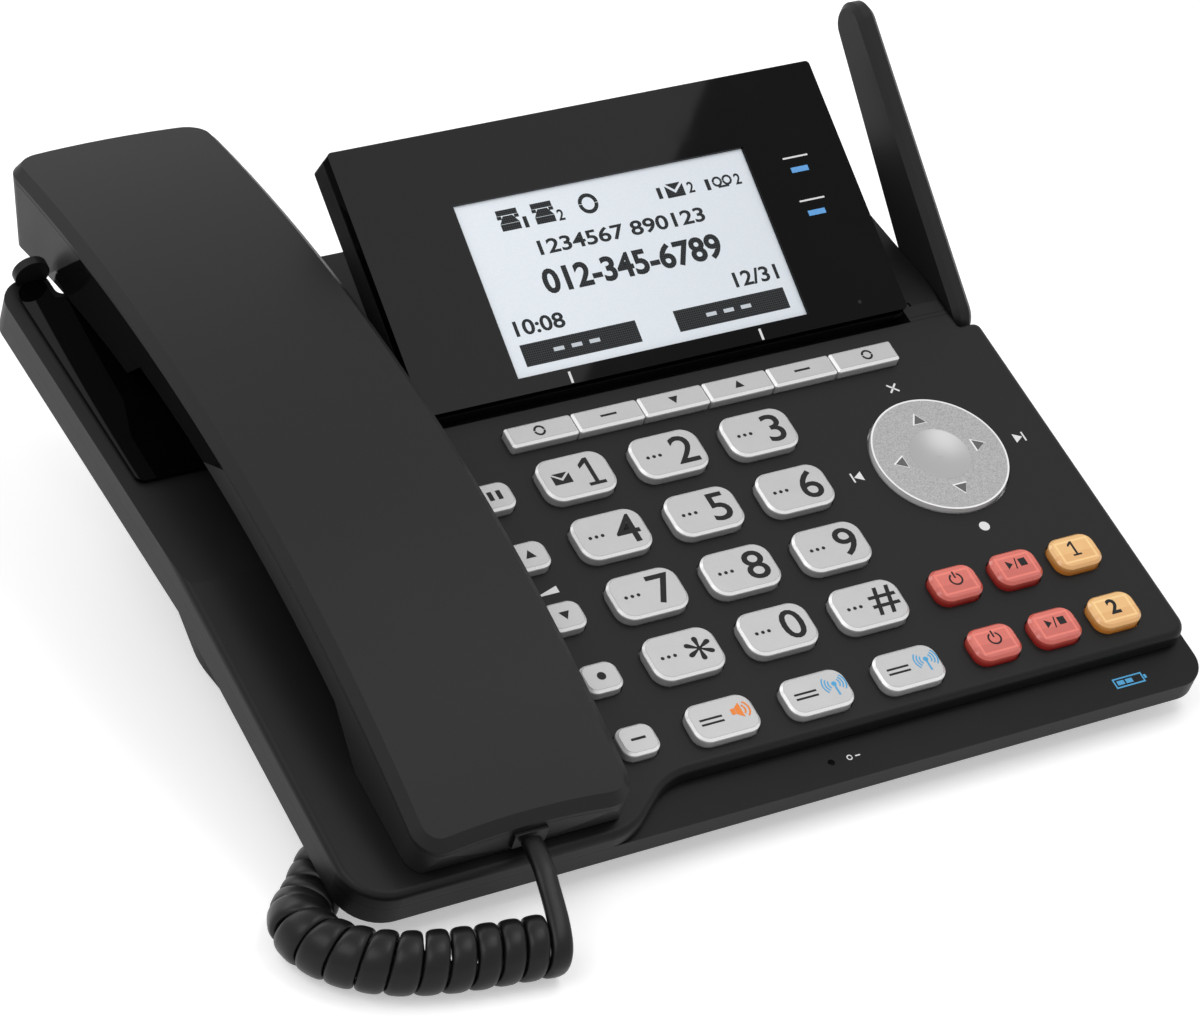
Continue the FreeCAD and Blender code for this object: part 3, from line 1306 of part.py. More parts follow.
def cradle_insert():
    """Glossy cradle plate with the saddle that carries the ear block."""
    rim = size("insert_rim")
    left, right = size("base_left") + rim, size("cradle_line") - size("gap")
    front, rear = size("insert_front"), size("cradle_rear") - rim / 2
    corner = size("insert_corner")
    strip, strip_rear = shoulder_x() - rim / 2, size("shoulder_rear") - size("lug_thick") - size("gap")
    plan = upright(rounded_wire([(left, front, corner), (right, front, corner), (right, rear, corner),
                                 (strip, rear, corner / 2), (strip, strip_rear, corner / 2),
                                 (left, strip_rear, size("shoulder_corner") - rim)]), -REACH, REACH)
    level = size("deck_level")
    plate = plan.common(below(level + size("insert_thick"), size("bend_line")))
    edge = size("saddle_inset")
    saddle_left = size("handset_left") + edge
    saddle = Part.makeBox(size("handset_width") - 2 * edge, REACH, REACH,
                          Vector(saddle_left, arc_point(size("ear_radius"), size("ear_angle")).y, -REACH))
    saddle = saddle.common(plan).common(arc_drum(size("ear_radius") - size("gap")))
    clear_of_handset = arc_ring()
    whole = plate.cut(clear_of_handset).fuse(saddle).cut(below(level, size("bend_line")))
    return add_feature("cradle_insert", whole.cut(hook_slot()).removeSplitter())


def arc_ring():
    """Room of the handset's ear block over the cradle."""
    outer = under_crown(size("cover_radius"))
    inner = arc_drum(size("ear_radius") - size("gap"))
    left = size("handset_left") - size("gap")
    ear_front = arc_point(size("ear_radius"), size("ear_angle")).y
    span = Part.makeBox(size("handset_width") + 2 * size("gap"), REACH, REACH,
                        Vector(left, ear_front - size("ear_room"), -REACH / 2))
    return outer.cut(inner).common(span)


def hook_button():
    """Hook button that the handset holds down, with a flange inside the housing."""
    width, depth = size("hook_width"), size("hook_depth")
    rear = size("hook_y") + depth / 2
    top = arc_point(size("ear_radius") - size("gap"), angle_at(size("ear_radius"), rear)).z
    fall = math.tan(math.radians(size("rear_bend")))
    ceiling = size("deck_level") - size("skin") - (rear + 1 - size("bend_line")) * fall
    flange_top = ceiling - size("hook_travel") - size("slide_gap")
    edge = size("flange_edge")
    stem = Part.makeBox(width, depth, top - flange_top + edge,
                        Vector(size("hook_x") - width / 2, size("hook_y") - depth / 2, flange_top - edge))
    flange = Part.makeBox(width + 2 * edge, depth + 2 * edge, edge,
                          Vector(size("hook_x") - width / 2 - edge, size("hook_y") - depth / 2 - edge,
                                 flange_top - edge))
    return add_feature("hook_button", stem.fuse(flange).removeSplitter())


# ---------------------------------------------------------------- desk stand

def deck_placement():
    """The deck frame as a placement in the part's frame."""
    return FreeCAD.Placement(Vector(-size("side_shift"), -size("depth_shift"), size("deck_rise")),
                             FreeCAD.Rotation(Vector(1, 0, 0), size("deck_tilt")))


def housing_space():
    """Everything over the lower housing's underside, in the part's frame."""
    bulk = Part.makeBox(4 * REACH, 4 * REACH, 4 * REACH, Vector(-2 * REACH, -2 * REACH, -2 * REACH))
    return at(deck_placement(), bulk.cut(below(underside(), size("bend_line"), -2 * REACH, 2 * REACH)))


def stand_wire():
    """Plan of the stand: straight in front, tapering to the rear."""
    centre, half, taper = middle_x(), size("stand_half"), size("stand_taper")
    corner = size("stand_corner")
    left, right = centre - half, centre + half
    front, middle, rear = size("stand_front"), size("stand_middle"), size("stand_rear")
    return rounded_wire([
        (left, front, corner), (right, front, corner), (right, middle, 5 * corner),
        (right - taper, rear, corner), (left + taper, rear, corner), (left, middle, 5 * corner),
    ])


def desk_stand():
    """Hollow wedge stand under the housing, open to it, with jacks and sound holes."""
    outline = stand_wire()
    bottom = size("foot_height")
    outer = upright(outline, bottom, REACH / 2)
    hollow = upright(inset(outline, size("stand_wall")), bottom + size("stand_wall"), REACH / 2)
    shell = outer.cut(hollow).cut(housing_space())
    tabs = [at(deck_placement(), tab) for tab in stand_tabs(0)]
    cuts = [jack_block(place, size("slide_gap")) for place in jack_places()] + speaker_grille()
    return add_free_feature("desk_stand", shell.cut(cuts).fuse(tabs).removeSplitter())


def stand_tabs(clear):
    """Locating tabs of the stand's walls in slots of the lower housing's floor."""
    wall = size("stand_wall")
    width, thick = size("tab_width") + 2 * clear, wall / 2 + 2 * clear
    front = size("tab_y") - width / 2
    inner = middle_x() + size("side_shift")
    tabs = []
    for side in (-1, 1):
        x = inner + side * (size("stand_half") - wall / 2) - thick / 2
        tabs.append(Part.makeBox(thick, width, size("tab_depth") + wall,
                                 Vector(x, front, underside() - wall)))
    return tabs


def jack_places():
    """Front-left-bottom corners of the jack housings and the way their openings face."""
    low = size("jack_level") - size("jack_height") / 2
    half = size("jack_width") / 2
    return ((size("handset_jack_x") - half, size("stand_front"), low, -1),
            (size("line_jack_x") - half, size("stand_rear") - size("jack_depth"), low, 1))


def jack_block(place, clear):
    """Outer block of a jack housing."""
    x, y, z, _ = place
    return Part.makeBox(size("jack_width") + 2 * clear, size("jack_depth") + 2 * clear,
                        size("jack_height") + 2 * clear, Vector(x - clear, y - clear, z - clear))


def phone_jacks():
    """Handset jack in the stand's front wall and line jack in its rear wall."""
    jacks = []
    for place in jack_places():
        x, y, z, facing = place
        start = y if facing < 0 else y + size("jack_depth") - size("port_depth")
        port = Part.makeBox(size("port_width"), size("port_depth"), size("port_height"),
                            Vector(x + (size("jack_width") - size("port_width")) / 2, start,
                                   z + (size("jack_height") - size("port_height")) / 2))
        jacks.append(jack_block(place, 0).cut(port))
    return add_free_feature("phone_jacks", Part.makeCompound(jacks))


def speaker_place():
    """Middle of the loudspeaker on the stand's floor."""
    middle_y = (size("stand_front") + size("stand_rear")) / 2
    return Vector(middle_x(), middle_y, size("foot_height") + size("stand_wall"))


def speaker_grille():
    """Rings of sound holes in the stand's floor."""
    centre = speaker_place()
    holes = []
    for ring in range(1, 4):
        radius = ring * size("speaker_radius") / 4
        for number in range(6 * ring):
            turn = 2 * math.pi * number / (6 * ring)
            spot = centre + Vector(radius * math.cos(turn), radius * math.sin(turn), -2 * size("stand_wall"))
            holes.append(Part.makeCylinder(size("speaker_hole"), 3 * size("stand_wall"), spot))
    return holes


def loudspeaker():
    """Loudspeaker that faces down on the stand's floor: frame and magnet."""
    frame = primitive("Cylinder", "SpeakerFrame", Radius="<speaker_radius>", Height="<speaker_height>")
    cone = primitive("Cone", "SpeakerCone", Radius1="<speaker_radius> - <stand_wall>",
                     Radius2="<magnet_radius>", Height="<speaker_height> - <stand_wall>")
    basket = doc.addObject("Part::Cut", "SpeakerBasket")
    basket.Base = frame
    basket.Tool = cone
    magnet = primitive("Cylinder", "SpeakerMagnet", Radius="<magnet_radius>", Height="<magnet_height>")
    place_at(magnet, z="<speaker_height>")
    piece = fused("loudspeaker", [basket, magnet])
    place_at(piece, "(<base_left> + <base_right>) / 2 - <side_shift>",
             "(<stand_front> + <stand_rear>) / 2", "<foot_height> + <stand_wall>")
    return finish(piece, "loudspeaker")


def rubber_feet():
    """Four pads under the stand and two taller feet under the front of the housing."""
    offset = size("foot_inset")
    middle, half = middle_x(), size("stand_half")
    feet = []
    for side in (-1, 1):
        front_x = middle + side * (half - offset)
        rear_x = middle + side * (half - size("stand_taper") - offset)
        for x, y in ((front_x, size("stand_front") + offset), (rear_x, size("stand_rear") - offset)):
            feet.append(Part.makeCylinder(size("foot_radius"), size("foot_height"), Vector(x, y, 0)))
    inset_front = size("front_foot_inset")
    left = size("base_left") - size("side_shift") + inset_front
    right = size("base_right") - size("side_shift") - inset_front
    tilt = math.radians(size("deck_tilt"))
    spot = size("base_front") + inset_front
    y = spot * math.cos(tilt) - underside() * math.sin(tilt) - size("depth_shift")
    for x in (left, right):
        post = Part.makeCylinder(size("front_foot_radius"), REACH / 2, Vector(x, y, 0))
        feet.append(post.cut(housing_space()))
    return add_free_feature("rubber_feet", Part.makeCompound(feet))


# ---------------------------------------------------------------- handset cord

def cord_path(points):
    """Straight runs joined by arcs as large as the runs allow. Returns the wire and the radii."""
    route = [Vector(*point) for point in points]
    edges = []
    radii = []
    start = route[0]
    for before, corner, after in zip(route, route[1:], route[2:]):
        back, ahead = before - corner, after - corner
        turn = math.pi - back.getAngle(ahead)
        tangent = 0.45 * min(back.Length, ahead.Length)
        radius = tangent / math.tan(turn / 2)
        back.normalize()
        ahead.normalize()
        enter, leave = corner + back * tangent, corner + ahead * tangent
        inward = (back + ahead).normalize()
        reach = math.hypot(radius, tangent) - radius
        edges.append(Part.LineSegment(start, enter).toShape())
        edges.append(Part.Arc(enter, corner + inward * reach, leave).toShape())
        radii.append(radius)
        start = leave
    edges.append(Part.LineSegment(start, route[-1]).toShape())
    return Part.Wire(edges), radii


def tube(label, points, radius):
    """Round tube along a cord's route, its volume held against section times length."""
    path, radii = cord_path(points)
    first = Vector(*points[1]) - Vector(*points[0])
    section = Part.Wire(Part.makeCircle(radius, Vector(*points[0]), first))
    solid = path.makePipeShell([section], True, False)
    expected = math.pi * radius ** 2 * path.Length
    print(f"{label}: volume {solid.Volume / expected:.4f} of section times length,",
          "radii", " ".join(f"{value:.1f}" for value in radii))
    return add_free_feature(label, solid)


# ---------------------------------------------------------------- build and write

def check(pieces):
    """Stop on any failed object or unsound sub-part."""
    for item in doc.Objects:
        if "Invalid" in item.State or "Error" in item.State:
            raise RuntimeError(f"{item.Label} failed: {item.State}")
    for piece in pieces:
        if piece.Shape.isNull() or not piece.Shape.isValid() or not piece.Shape.Solids:
            raise RuntimeError(f"{piece.Label} has no sound shape")


def build():
    """Every sub-part of the telephone."""
    lower_housing()
    upper_housing()
    housing_screws()
    main_board()
    keypad_membrane()
    usb_socket()
    base_microphone()
    for place in KEY_PLACES:
        key_body(*place)
    dial_gimbal()
    dial_pad()
    display_bezel()
    display_case()
    lcd_module()
    indicator_lenses()
    antenna()
    cradle_insert()
    hook_button()
    handset_cover()
    handset_shell()
    receiver_capsule()
    handset_microphone()
    cord_plug()
    desk_stand()
    phone_jacks()
    loudspeaker()
    rubber_feet()
    tube("cord_lead_handset", HANDSET_LEAD, size("cord_radius"))
    tube("cord_coil", COIL, size("coil_radius"))
    tube("cord_lead_base", BASE_LEAD, size("cord_radius"))


build()
doc.recompute()
check(subparts)
os.makedirs("parts", exist_ok=True)
for piece in subparts:
    piece.Shape.exportStep(os.path.join("parts", piece.Label + ".step"))
print(len(subparts), "sub-parts")
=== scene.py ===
# %% [markdown]
# # A corded desk telephone with an answering machine, dressed for its portrait
#
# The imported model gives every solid, every joint and the part's own frame. This lesson adds
# what solids can't say: finishes, printed legends, the display's content, keys that glow, and
# the coiled cord. Everything is in metres, in the frame of the solids.

# %% Load the frame
import math
import bpy
import numpy as np
from mathutils import Matrix, Vector


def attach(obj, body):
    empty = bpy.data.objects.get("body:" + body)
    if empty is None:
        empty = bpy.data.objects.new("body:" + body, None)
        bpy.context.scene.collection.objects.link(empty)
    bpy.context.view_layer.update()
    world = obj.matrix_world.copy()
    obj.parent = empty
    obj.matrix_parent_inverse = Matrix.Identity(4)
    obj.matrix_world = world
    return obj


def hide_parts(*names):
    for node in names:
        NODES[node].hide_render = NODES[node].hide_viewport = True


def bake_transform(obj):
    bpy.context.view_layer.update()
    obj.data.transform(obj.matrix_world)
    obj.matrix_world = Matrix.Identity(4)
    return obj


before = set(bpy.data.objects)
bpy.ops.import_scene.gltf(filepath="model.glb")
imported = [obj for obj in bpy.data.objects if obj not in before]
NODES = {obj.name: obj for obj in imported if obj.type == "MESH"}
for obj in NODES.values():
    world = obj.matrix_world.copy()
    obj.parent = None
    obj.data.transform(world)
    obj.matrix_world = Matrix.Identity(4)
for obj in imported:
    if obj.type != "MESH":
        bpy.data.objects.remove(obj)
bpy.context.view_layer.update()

# %% [markdown]
# ## The deck's own axes
#
# Keys, display and cradle sit on a deck that slopes 18 degrees. Working in the deck's axes
# keeps every number simple: x to the right, y up the slope, z out of the deck, in millimetres
# from the digit 1 key. One matrix carries such points into the part's frame.

# %% Deck and display axes
MM = 0.001
DECK_TILT = math.radians(18.0)
DECK_ORIGIN = np.array([-11.3, -20.25, 41.5])
DISPLAY_TILT = math.radians(19.24)
DISPLAY_CORNER = np.array([-25.4, 23.6, 1.4])


def turn_x(angle):
    """Rotation about X: y' = y cos a - z sin a, z' = y sin a + z cos a."""
    c, s = math.cos(angle), math.sin(angle)
    return np.array([[1, 0, 0], [0, c, -s], [0, s, c]])


def deck(points):
    """Deck millimetres to the part's metres: turn by the deck's slope, then shift."""
    return (np.asarray(points, float) @ turn_x(DECK_TILT).T + DECK_ORIGIN) * MM


def display(points):
    """Display millimetres (x right, y up the face, z out of it) to the part's metres."""
    return deck(np.asarray(points, float) @ turn_x(DISPLAY_TILT).T + DISPLAY_CORNER)


print("digit 1 key at", deck([0, 0, 0]).round(4))

# %% [markdown]
# ## The camera
#
# A long lens from above the front left corner, slightly rolled, as a catalogue shows a desk
# telephone. The matrix holds the camera's right, up and backward directions as columns.

# %% Camera
camera_data = bpy.data.cameras.new("portrait_camera")
camera_data.lens = 133.68
camera_data.sensor_width = 36.0
camera_data.sensor_fit = "HORIZONTAL"
camera = bpy.data.objects.new("portrait_camera", camera_data)
bpy.context.scene.collection.objects.link(camera)
camera.matrix_world = Matrix((
    (0.8646, 0.2096, -0.4568, -0.44305),
    (-0.4959, 0.5025, -0.7082, -0.70055),
    (0.0811, 0.8387, 0.5384, 0.5486),
    (0, 0, 0, 1)))
bpy.context.scene.camera = camera
bpy.context.scene.view_settings.view_transform = "Standard"
print("camera at", [round(value, 4) for value in camera.matrix_world.translation])

# %% [markdown]
# ## Shader arithmetic
#
# Finishes are sums and products of noises and of masks over the part's own coordinates. A
# small class around a node's output lets them be written as formulas.

# %% Socket arithmetic


class Socket:
    """One output of a material's node tree, with arithmetic on it."""

    def __init__(self, tree, output):
        self.tree = tree
        self.output = output

    def node(self, kind, inputs, output=0, **settings):
        """Any node: its settings, then its inputs by number or name. Returns one output."""
        made = self.tree.nodes.new("ShaderNode" + kind)
        for name, value in settings.items():
            setattr(made, name, value)
        for name, value in inputs.items():
            if isinstance(value, Socket):
                self.tree.links.new(value.output, made.inputs[name])
            else:
                made.inputs[name].default_value = value
        return Socket(self.tree, made.outputs[output])

    def maths(self, operation, *others):
        """A Math node of this value and the others, in that order."""
        return self.node("Math", dict(enumerate((self, *others))), operation=operation)

    def __add__(self, other):
        return self.maths("ADD", other)

    def __sub__(self, other):
        return self.maths("SUBTRACT", other)

    def __rsub__(self, other):
        return self.node("Math", {0: other, 1: self}, operation="SUBTRACT")

    def __mul__(self, other):
        return self.maths("MULTIPLY", other)

    def __truediv__(self, other):
        return self.maths("DIVIDE", other)

    __radd__ = __add__
    __rmul__ = __mul__

    def size(self):
        """Absolute value."""
        return self.maths("ABSOLUTE")

    def root(self):
        """Square root."""
        return self.maths("SQRT")

    def fraction(self):
        """What is left above the whole number."""
        return self.maths("FRACT")

    def higher(self, other):
        """The larger of two values."""
        return self.maths("MAXIMUM", other)

    def step(self, low, high):
        """0 below low, 1 above high, smooth between."""
        return self.node("MapRange", {0: self, 1: low, 2: high, 3: 0.0, 4: 1.0},
                         interpolation_type="SMOOTHSTEP")

    def band(self, low, high, soft):
        """1 between low and high, 0 outside, with edges this soft."""
        return self.step(low - soft, low + soft) * (1.0 - self.step(high - soft, high + soft))

    def mix(self, first, second):
        """Colour mix: first at 0, second at 1."""
        return self.node("Mix", {0: self, 6: first, 7: second}, output=2, data_type="RGBA")


def largest_of(values):
    """The largest of several sockets."""
    largest = values[0]
    for value in values[1:]:
        largest = largest.higher(value)
    return largest


print("sockets can be added, subtracted, multiplied and divided")

# %% [markdown]
# Colours are written in two ways: blacks and silvers as plain grey levels, and tinted parts as
# the everyday 0 to 255 values of a paint chart, which the shader needs as linear light.

# %% Colours


def grey(level):
    """A grey as an RGBA tuple."""
    return (level, level, level, 1.0)


def srgb(red, green, blue):
    """Linear RGBA of an sRGB colour of 0..255 levels: ((c + 0.055) / 1.055) ** 2.4."""
    levels = np.array([red, green, blue]) / 255
    linear = np.where(levels <= 0.04045, levels / 12.92, ((levels + 0.055) / 1.055) ** 2.4)
    return (*linear.tolist(), 1.0)


print("a mid grey of 128 is", round(srgb(128, 128, 128)[0], 3), "in linear light")

# %% [markdown]
# A finish is one shader and the coordinates that its patterns read. Object coordinates are used
# throughout, because every piece keeps its place in its mesh: the grain then runs on from one
# piece to the next and stays put on a piece that moves.

# %% A finish under way


class Finish:
    """A material under way: its shader, its coordinates and what may vary on it."""

    def __init__(self, name, **fixed):
        self.material = bpy.data.materials.new(name)
        self.material.use_nodes = True
        tree = self.material.node_tree
        self.shader = tree.nodes["Principled BSDF"]
        for label, value in fixed.items():
            self.shader.inputs[label.replace("_", " ")].default_value = value
        coordinates = tree.nodes.new("ShaderNodeTexCoord")
        self.place = Socket(tree, coordinates.outputs["Object"])
        parts = tree.nodes.new("ShaderNodeSeparateXYZ")
        tree.links.new(self.place.output, parts.inputs[0])
        self.x, self.y, self.z = (Socket(tree, parts.outputs[axis]) for axis in range(3))

    def deck(self):
        """The deck's x, y and z in millimetres, as sockets."""
        c, s = math.cos(DECK_TILT), math.sin(DECK_TILT)
        shift = DECK_ORIGIN * MM
        y, z = self.y - float(shift[1]), self.z - float(shift[2])
        return ((self.x - float(shift[0])) * 1000.0, (y * c + z * s) * 1000.0,
                (z * c - y * s) * 1000.0)

    def noise(self, size_mm, detail=3.0, rough=0.5):
        """Noise 0..1 with features of a size in millimetres."""
        return self.place.node("TexNoise", {"Vector": self.place, "Scale": 1.0 / (size_mm * MM),
                                            "Detail": detail, "Roughness": rough})

    def set(self, label, value):
        """Feed one input of the shader."""
        self.material.node_tree.links.new(value.output, self.shader.inputs[label])

    def bump(self, height, distance_mm, strength):
        """Feed the shader's normal from a height of 0..1."""
        self.set("Normal", height.node("Bump", {"Height": height, "Strength": strength,
                                                "Distance": distance_mm * MM}))


print("a grain of 0.35 mm needs a noise scale of", round(1.0 / (0.35 * MM)))

# %% [markdown]
# ## Finishes
#
# The housing is satin black plastic with a very fine spark-eroded grain, a little darker where
# dust and hands leave it. A hairline seam runs round it where its two halves part, and two
# fine grooves cross the deck in front of the display. Lines this thin are drawn in colour and
# bump, which keeps the solids simple.

# %% Satin black plastic
SEAM_DEPTH = 5.1
SEAM_BEND = 2.8
SEAM_FALL = math.tan(math.radians(8.0))
GROOVES = ((21.3, 21.65), (22.4, 22.75))
GROOVE_ENDS = (-21.5, 112.8)
GRAIN = 0.35


def satin_black(name, level, rough, seam=False):
    """Satin plastic: a dark grey, fine grain in roughness and bump, faint smudges.

    The seam lies at z = -depth, and behind the bend it falls by its slope times the distance.
    """
    finish = Finish(name, Specular_IOR_Level=0.16)
    grain = finish.noise(GRAIN, detail=2.0)
    smudge = finish.noise(28.0, detail=4.0, rough=0.6)
    wear = finish.noise(6.0, detail=5.0, rough=0.65).step(0.62, 0.8)
    colour = (smudge * 0.6 + grain * 0.2).mix(grey(level * 0.86), grey(level * 1.2))
    height = grain
    if seam:
        x, y, z = finish.deck()
        fall = (y + SEAM_BEND).higher(0.0) * SEAM_FALL
        line = (z + SEAM_DEPTH + fall).band(-0.16, 0.16, 0.06)
        near, far = (y.band(low, high, 0.08) for low, high in GROOVES)
        grooves = (near + far) * x.band(*GROOVE_ENDS, 0.2)
        line = line.higher(grooves * z.step(-1.6, -1.3))
        colour = line.mix(colour, grey(level * 0.12))
        height = grain - line * 3.0
    finish.set("Base Color", colour)
    finish.set("Roughness", rough + (smudge - 0.5) * 0.1 + grain * 0.05 - wear * 0.06)
    finish.bump(height, 0.012, 0.35)
    return finish.material


HOUSING = satin_black("housing_satin", 0.0076, 0.42, seam=True)
COVER = satin_black("handset_satin", 0.0120, 0.42)
STAND = satin_black("stand_satin", 0.0055, 0.5)
RIM_BLACK = satin_black("black_trim", 0.006, 0.35)
print("satin finishes:", [skin.name for skin in (HOUSING, COVER, STAND, RIM_BLACK)])

# %% [markdown]
# The display's face and the cradle are polished. Polished black plastic gathers fine hairlines
# and finger haze, which only show as changes of gloss, so its colour hardly varies.

# %% Polished black plastic


def polished_black(name, level, rough, mirror):
    """Polished plastic: dark base, clear gloss, faint haze and hairlines in roughness."""
    finish = Finish(name, Specular_IOR_Level=mirror)
    haze = finish.noise(22.0, detail=4.0, rough=0.55).step(0.45, 0.8)
    hair = finish.noise(1.4, detail=6.0, rough=0.7).step(0.6, 0.75)
    finish.set("Base Color", haze.mix(grey(level), grey(level * 1.5)))
    finish.set("Roughness", rough + haze * 0.05 + hair * 0.03)
    finish.bump(finish.noise(9.0, detail=2.0), 0.02, 0.08)
    return finish.material


GLOSS = polished_black("gloss_black_skin", level=0.0012, rough=0.05, mirror=0.14)
FACE = polished_black("display_face_skin", level=0.0010, rough=0.03, mirror=0.09)
print("polished finishes:", [skin.name for skin in (GLOSS, FACE)])

# %% [markdown]
# The handset's lower shell is polished along the handle and satin at both ends. The two finishes
# meet in straight slanted lines, so each line is written as a distance that is 0 on it.

# %% Handset shell


def shell_black(name):
    """Polished along the handle, satin in front of one slanted line and behind another.

    Each line is where (y - y0) + slope * (z - z0) = 0 in the deck's axes.
    """
    finish = Finish(name, Specular_IOR_Level=0.18)
    _, y, z = finish.deck()
    front = (13.0 - y) + (z - 13.0) * (-1.27)
    rear = (y - 85.6) + (z - 0.9) * 0.687
    satin = front.step(-0.3, 0.3).higher(rear.step(-0.3, 0.3))
    grain = finish.noise(GRAIN, detail=2.0)
    haze = finish.noise(22.0, detail=4.0).step(0.45, 0.8)
    finish.set("Base Color", satin.mix(grey(0.004), grey(0.016)))
    finish.set("Roughness", 0.07 + haze * 0.05 + satin * (0.34 + grain * 0.06))
    finish.bump(grain * satin, 0.012, 0.3)
    return finish.material


SHELL = shell_black("handset_shell_skin")
print("shell finish:", SHELL.name)

# %% [markdown]
# The keys are silver-painted plastic: a fine metallic flake with a slight cloud in it, and a
# painted highlight along the bevel round each key, which all keys share at one height over the
# deck.

# %% Silver keys


def silver_paint(name, level):
    """Metallic paint: flake noise in colour and roughness, a painted highlight along the bevel."""
    finish = Finish(name, Metallic=0.35)
    flake = finish.noise(0.16, detail=2.0)
    cloud = finish.noise(5.0, detail=3.0)
    _, _, z = finish.deck()
    # Painted highlight: the bevel band is painted brighter and made a little glossier.
    bevel_highlight = z.band(0.3, 1.22, 0.06)
    top = (flake * 0.7 + cloud * 0.3).mix(grey(level * 0.86), grey(level * 1.12))
    finish.set("Base Color", bevel_highlight.mix(top, grey(level * 1.9)))
    finish.set("Roughness", 0.34 + flake * 0.12 - cloud * 0.05 - bevel_highlight * 0.08)
    finish.bump(flake, 0.01, 0.25)
    return finish.material


SILVER = silver_paint("key_silver_paint", 0.45)
print("key finish:", SILVER.name)

# %% [markdown]
# The round pad is sandy silver on top, smoother in the hollow for the fingertip, and bright
# round its side. All three are rings, so one distance from the pad's middle tells them apart.

# %% Round pad
DIAL_CENTRE = (84.3, -16.4)


def dial_silver(name):
    """Sandy on top, smooth in the hollow, bright round the side, by d = sqrt(x^2 + y^2)."""
    finish = Finish(name)
    x, y, _ = finish.deck()
    across, up = x - DIAL_CENTRE[0], y - DIAL_CENTRE[1]
    far = (across * across + up * up).root()
    band = far.step(15.45, 15.55)
    hollow = 1.0 - far.step(6.9, 7.3)
    sand = finish.noise(0.38, detail=3.0, rough=0.7)
    paint = sand.step(0.35, 0.65).mix(grey(0.29), grey(0.42))
    finish.set("Base Color", band.mix(hollow.mix(paint, grey(0.40)), grey(0.86)))
    finish.set("Metallic", 0.3 - band * 0.1)
    finish.set("Roughness", 0.42 - hollow * 0.1 - band * 0.2)
    finish.bump(sand * (1.0 - hollow) * (1.0 - band), 0.05, 0.35)
    return finish.material


DIAL = dial_silver("dial_silver_skin")
print("pad finish:", DIAL.name)

# %% [markdown]
# The six keys for the two lines are tinted translucent caps over lamps. Light gathers in a
# bevelled frame inside each cap and fades towards its foot. The frame is the edge of a
# rectangle round each key's middle, so one finish serves all keys of a colour.

# %% Lit keys
LIT_PLACES = [(68.2 + column * 15.7, -50.5 - row * 16.9)
              for row in range(2) for column in range(3)]


def lit_cap(name, places, deep, bright):
    """Tinted cap with a paler frame, a darker lower half and a deep foot round each place.

    The frame is where max(|x| - 4.2, |y| - 2.8) is about 0, in millimetres from the place.
    """
    finish = Finish(name, IOR=1.5, Coat_Weight=0.5, Emission_Strength=0.1)
    x, y, z = finish.deck()
    frames, halves = [], []
    for left, low in places:
        across, up = (x - left).size(), (y - low).size()
        frames.append((across - 4.2).higher(up - 2.8).band(-0.35, 0.15, 0.12))
        on_key = (1.0 - across.step(5.7, 5.8)) * (1.0 - up.step(4.3, 4.4))
        halves.append((1.0 - (y - low).step(-0.5, -0.3)) * on_key)
    rim, lower = largest_of(frames), largest_of(halves)
    height = z.step(-1.2, 1.25)
    tone = height * 0.62 + rim * 0.4 - lower * 0.16 + finish.noise(3.0) * 0.12
    colour = tone.mix(deep, bright)
    finish.set("Base Color", colour)
    finish.set("Emission Color", colour)
    finish.set("Roughness", 0.2 + finish.noise(0.8) * 0.08)
    finish.bump(finish.noise(2.0) + rim * 2.0, 0.03, 0.2)
    return finish.material


RED_CAP = lit_cap("lit_red", [LIT_PLACES[number] for number in (0, 1, 3, 4)],
                  srgb(150, 38, 34), srgb(226, 112, 96))
ORANGE_CAP = lit_cap("lit_orange", [LIT_PLACES[number] for number in (2, 5)],
                     srgb(196, 122, 48), srgb(240, 198, 132))
print("lit keys at, mm:", LIT_PLACES[0], "to", LIT_PLACES[-1])

# %% [markdown]
# Prints, rubber, cord vinyl, steel, the circuit board and the lenses are each one colour with a
# little noise in tone, gloss and relief, so one recipe makes them all.

# %% Plain finishes


def plain(name, colour, rough, metal=0.0, size_mm=0.6, spread=0.12, bump=0.2, mirror=0.5):
    """One colour with a little noise in tone, gloss and relief."""
    finish = Finish(name, Metallic=metal, Specular_IOR_Level=mirror)
    noise = finish.noise(size_mm, detail=3.0)
    darker = tuple(value * (1 - spread) for value in colour[:3]) + (1.0,)
    lighter = tuple(min(value * (1 + spread), 1.0) for value in colour[:3]) + (1.0,)
    finish.set("Base Color", noise.mix(darker, lighter))
    finish.set("Roughness", rough + noise * 0.1)
    finish.bump(noise, 0.015, bump)
    return finish.material


INK = plain("legend_ink", grey(0.005), 0.45, spread=0.3, mirror=0.2)
WHITE_PRINT = plain("white_print", grey(0.75), 0.5, spread=0.05)
BLUE_PRINT = plain("blue_print", srgb(70, 160, 210), 0.5)
ORANGE_PRINT = plain("orange_print", srgb(236, 130, 40), 0.5)
RUBBER = plain("foot_rubber", grey(0.012), 0.8, size_mm=0.4, bump=0.6)
VINYL = plain("cord_vinyl", grey(0.0042), 0.30, size_mm=0.5, bump=0.25, mirror=0.24)
STEEL = plain("screw_steel_skin", grey(0.5), 0.3, metal=1.0, size_mm=0.3)
BOARD = plain("solder_mask", srgb(30, 90, 48), 0.4, size_mm=1.2, spread=0.35)
MAT_RUBBER = plain("mat_silicone", grey(0.3), 0.6)
CLOTH = plain("speaker_cone", grey(0.03), 0.7, size_mm=0.3, bump=0.5)
LENS = plain("lens_tint", srgb(86, 158, 222), 0.12, spread=0.1)
print("plain finishes made, the cord's among them:", VINYL.name)
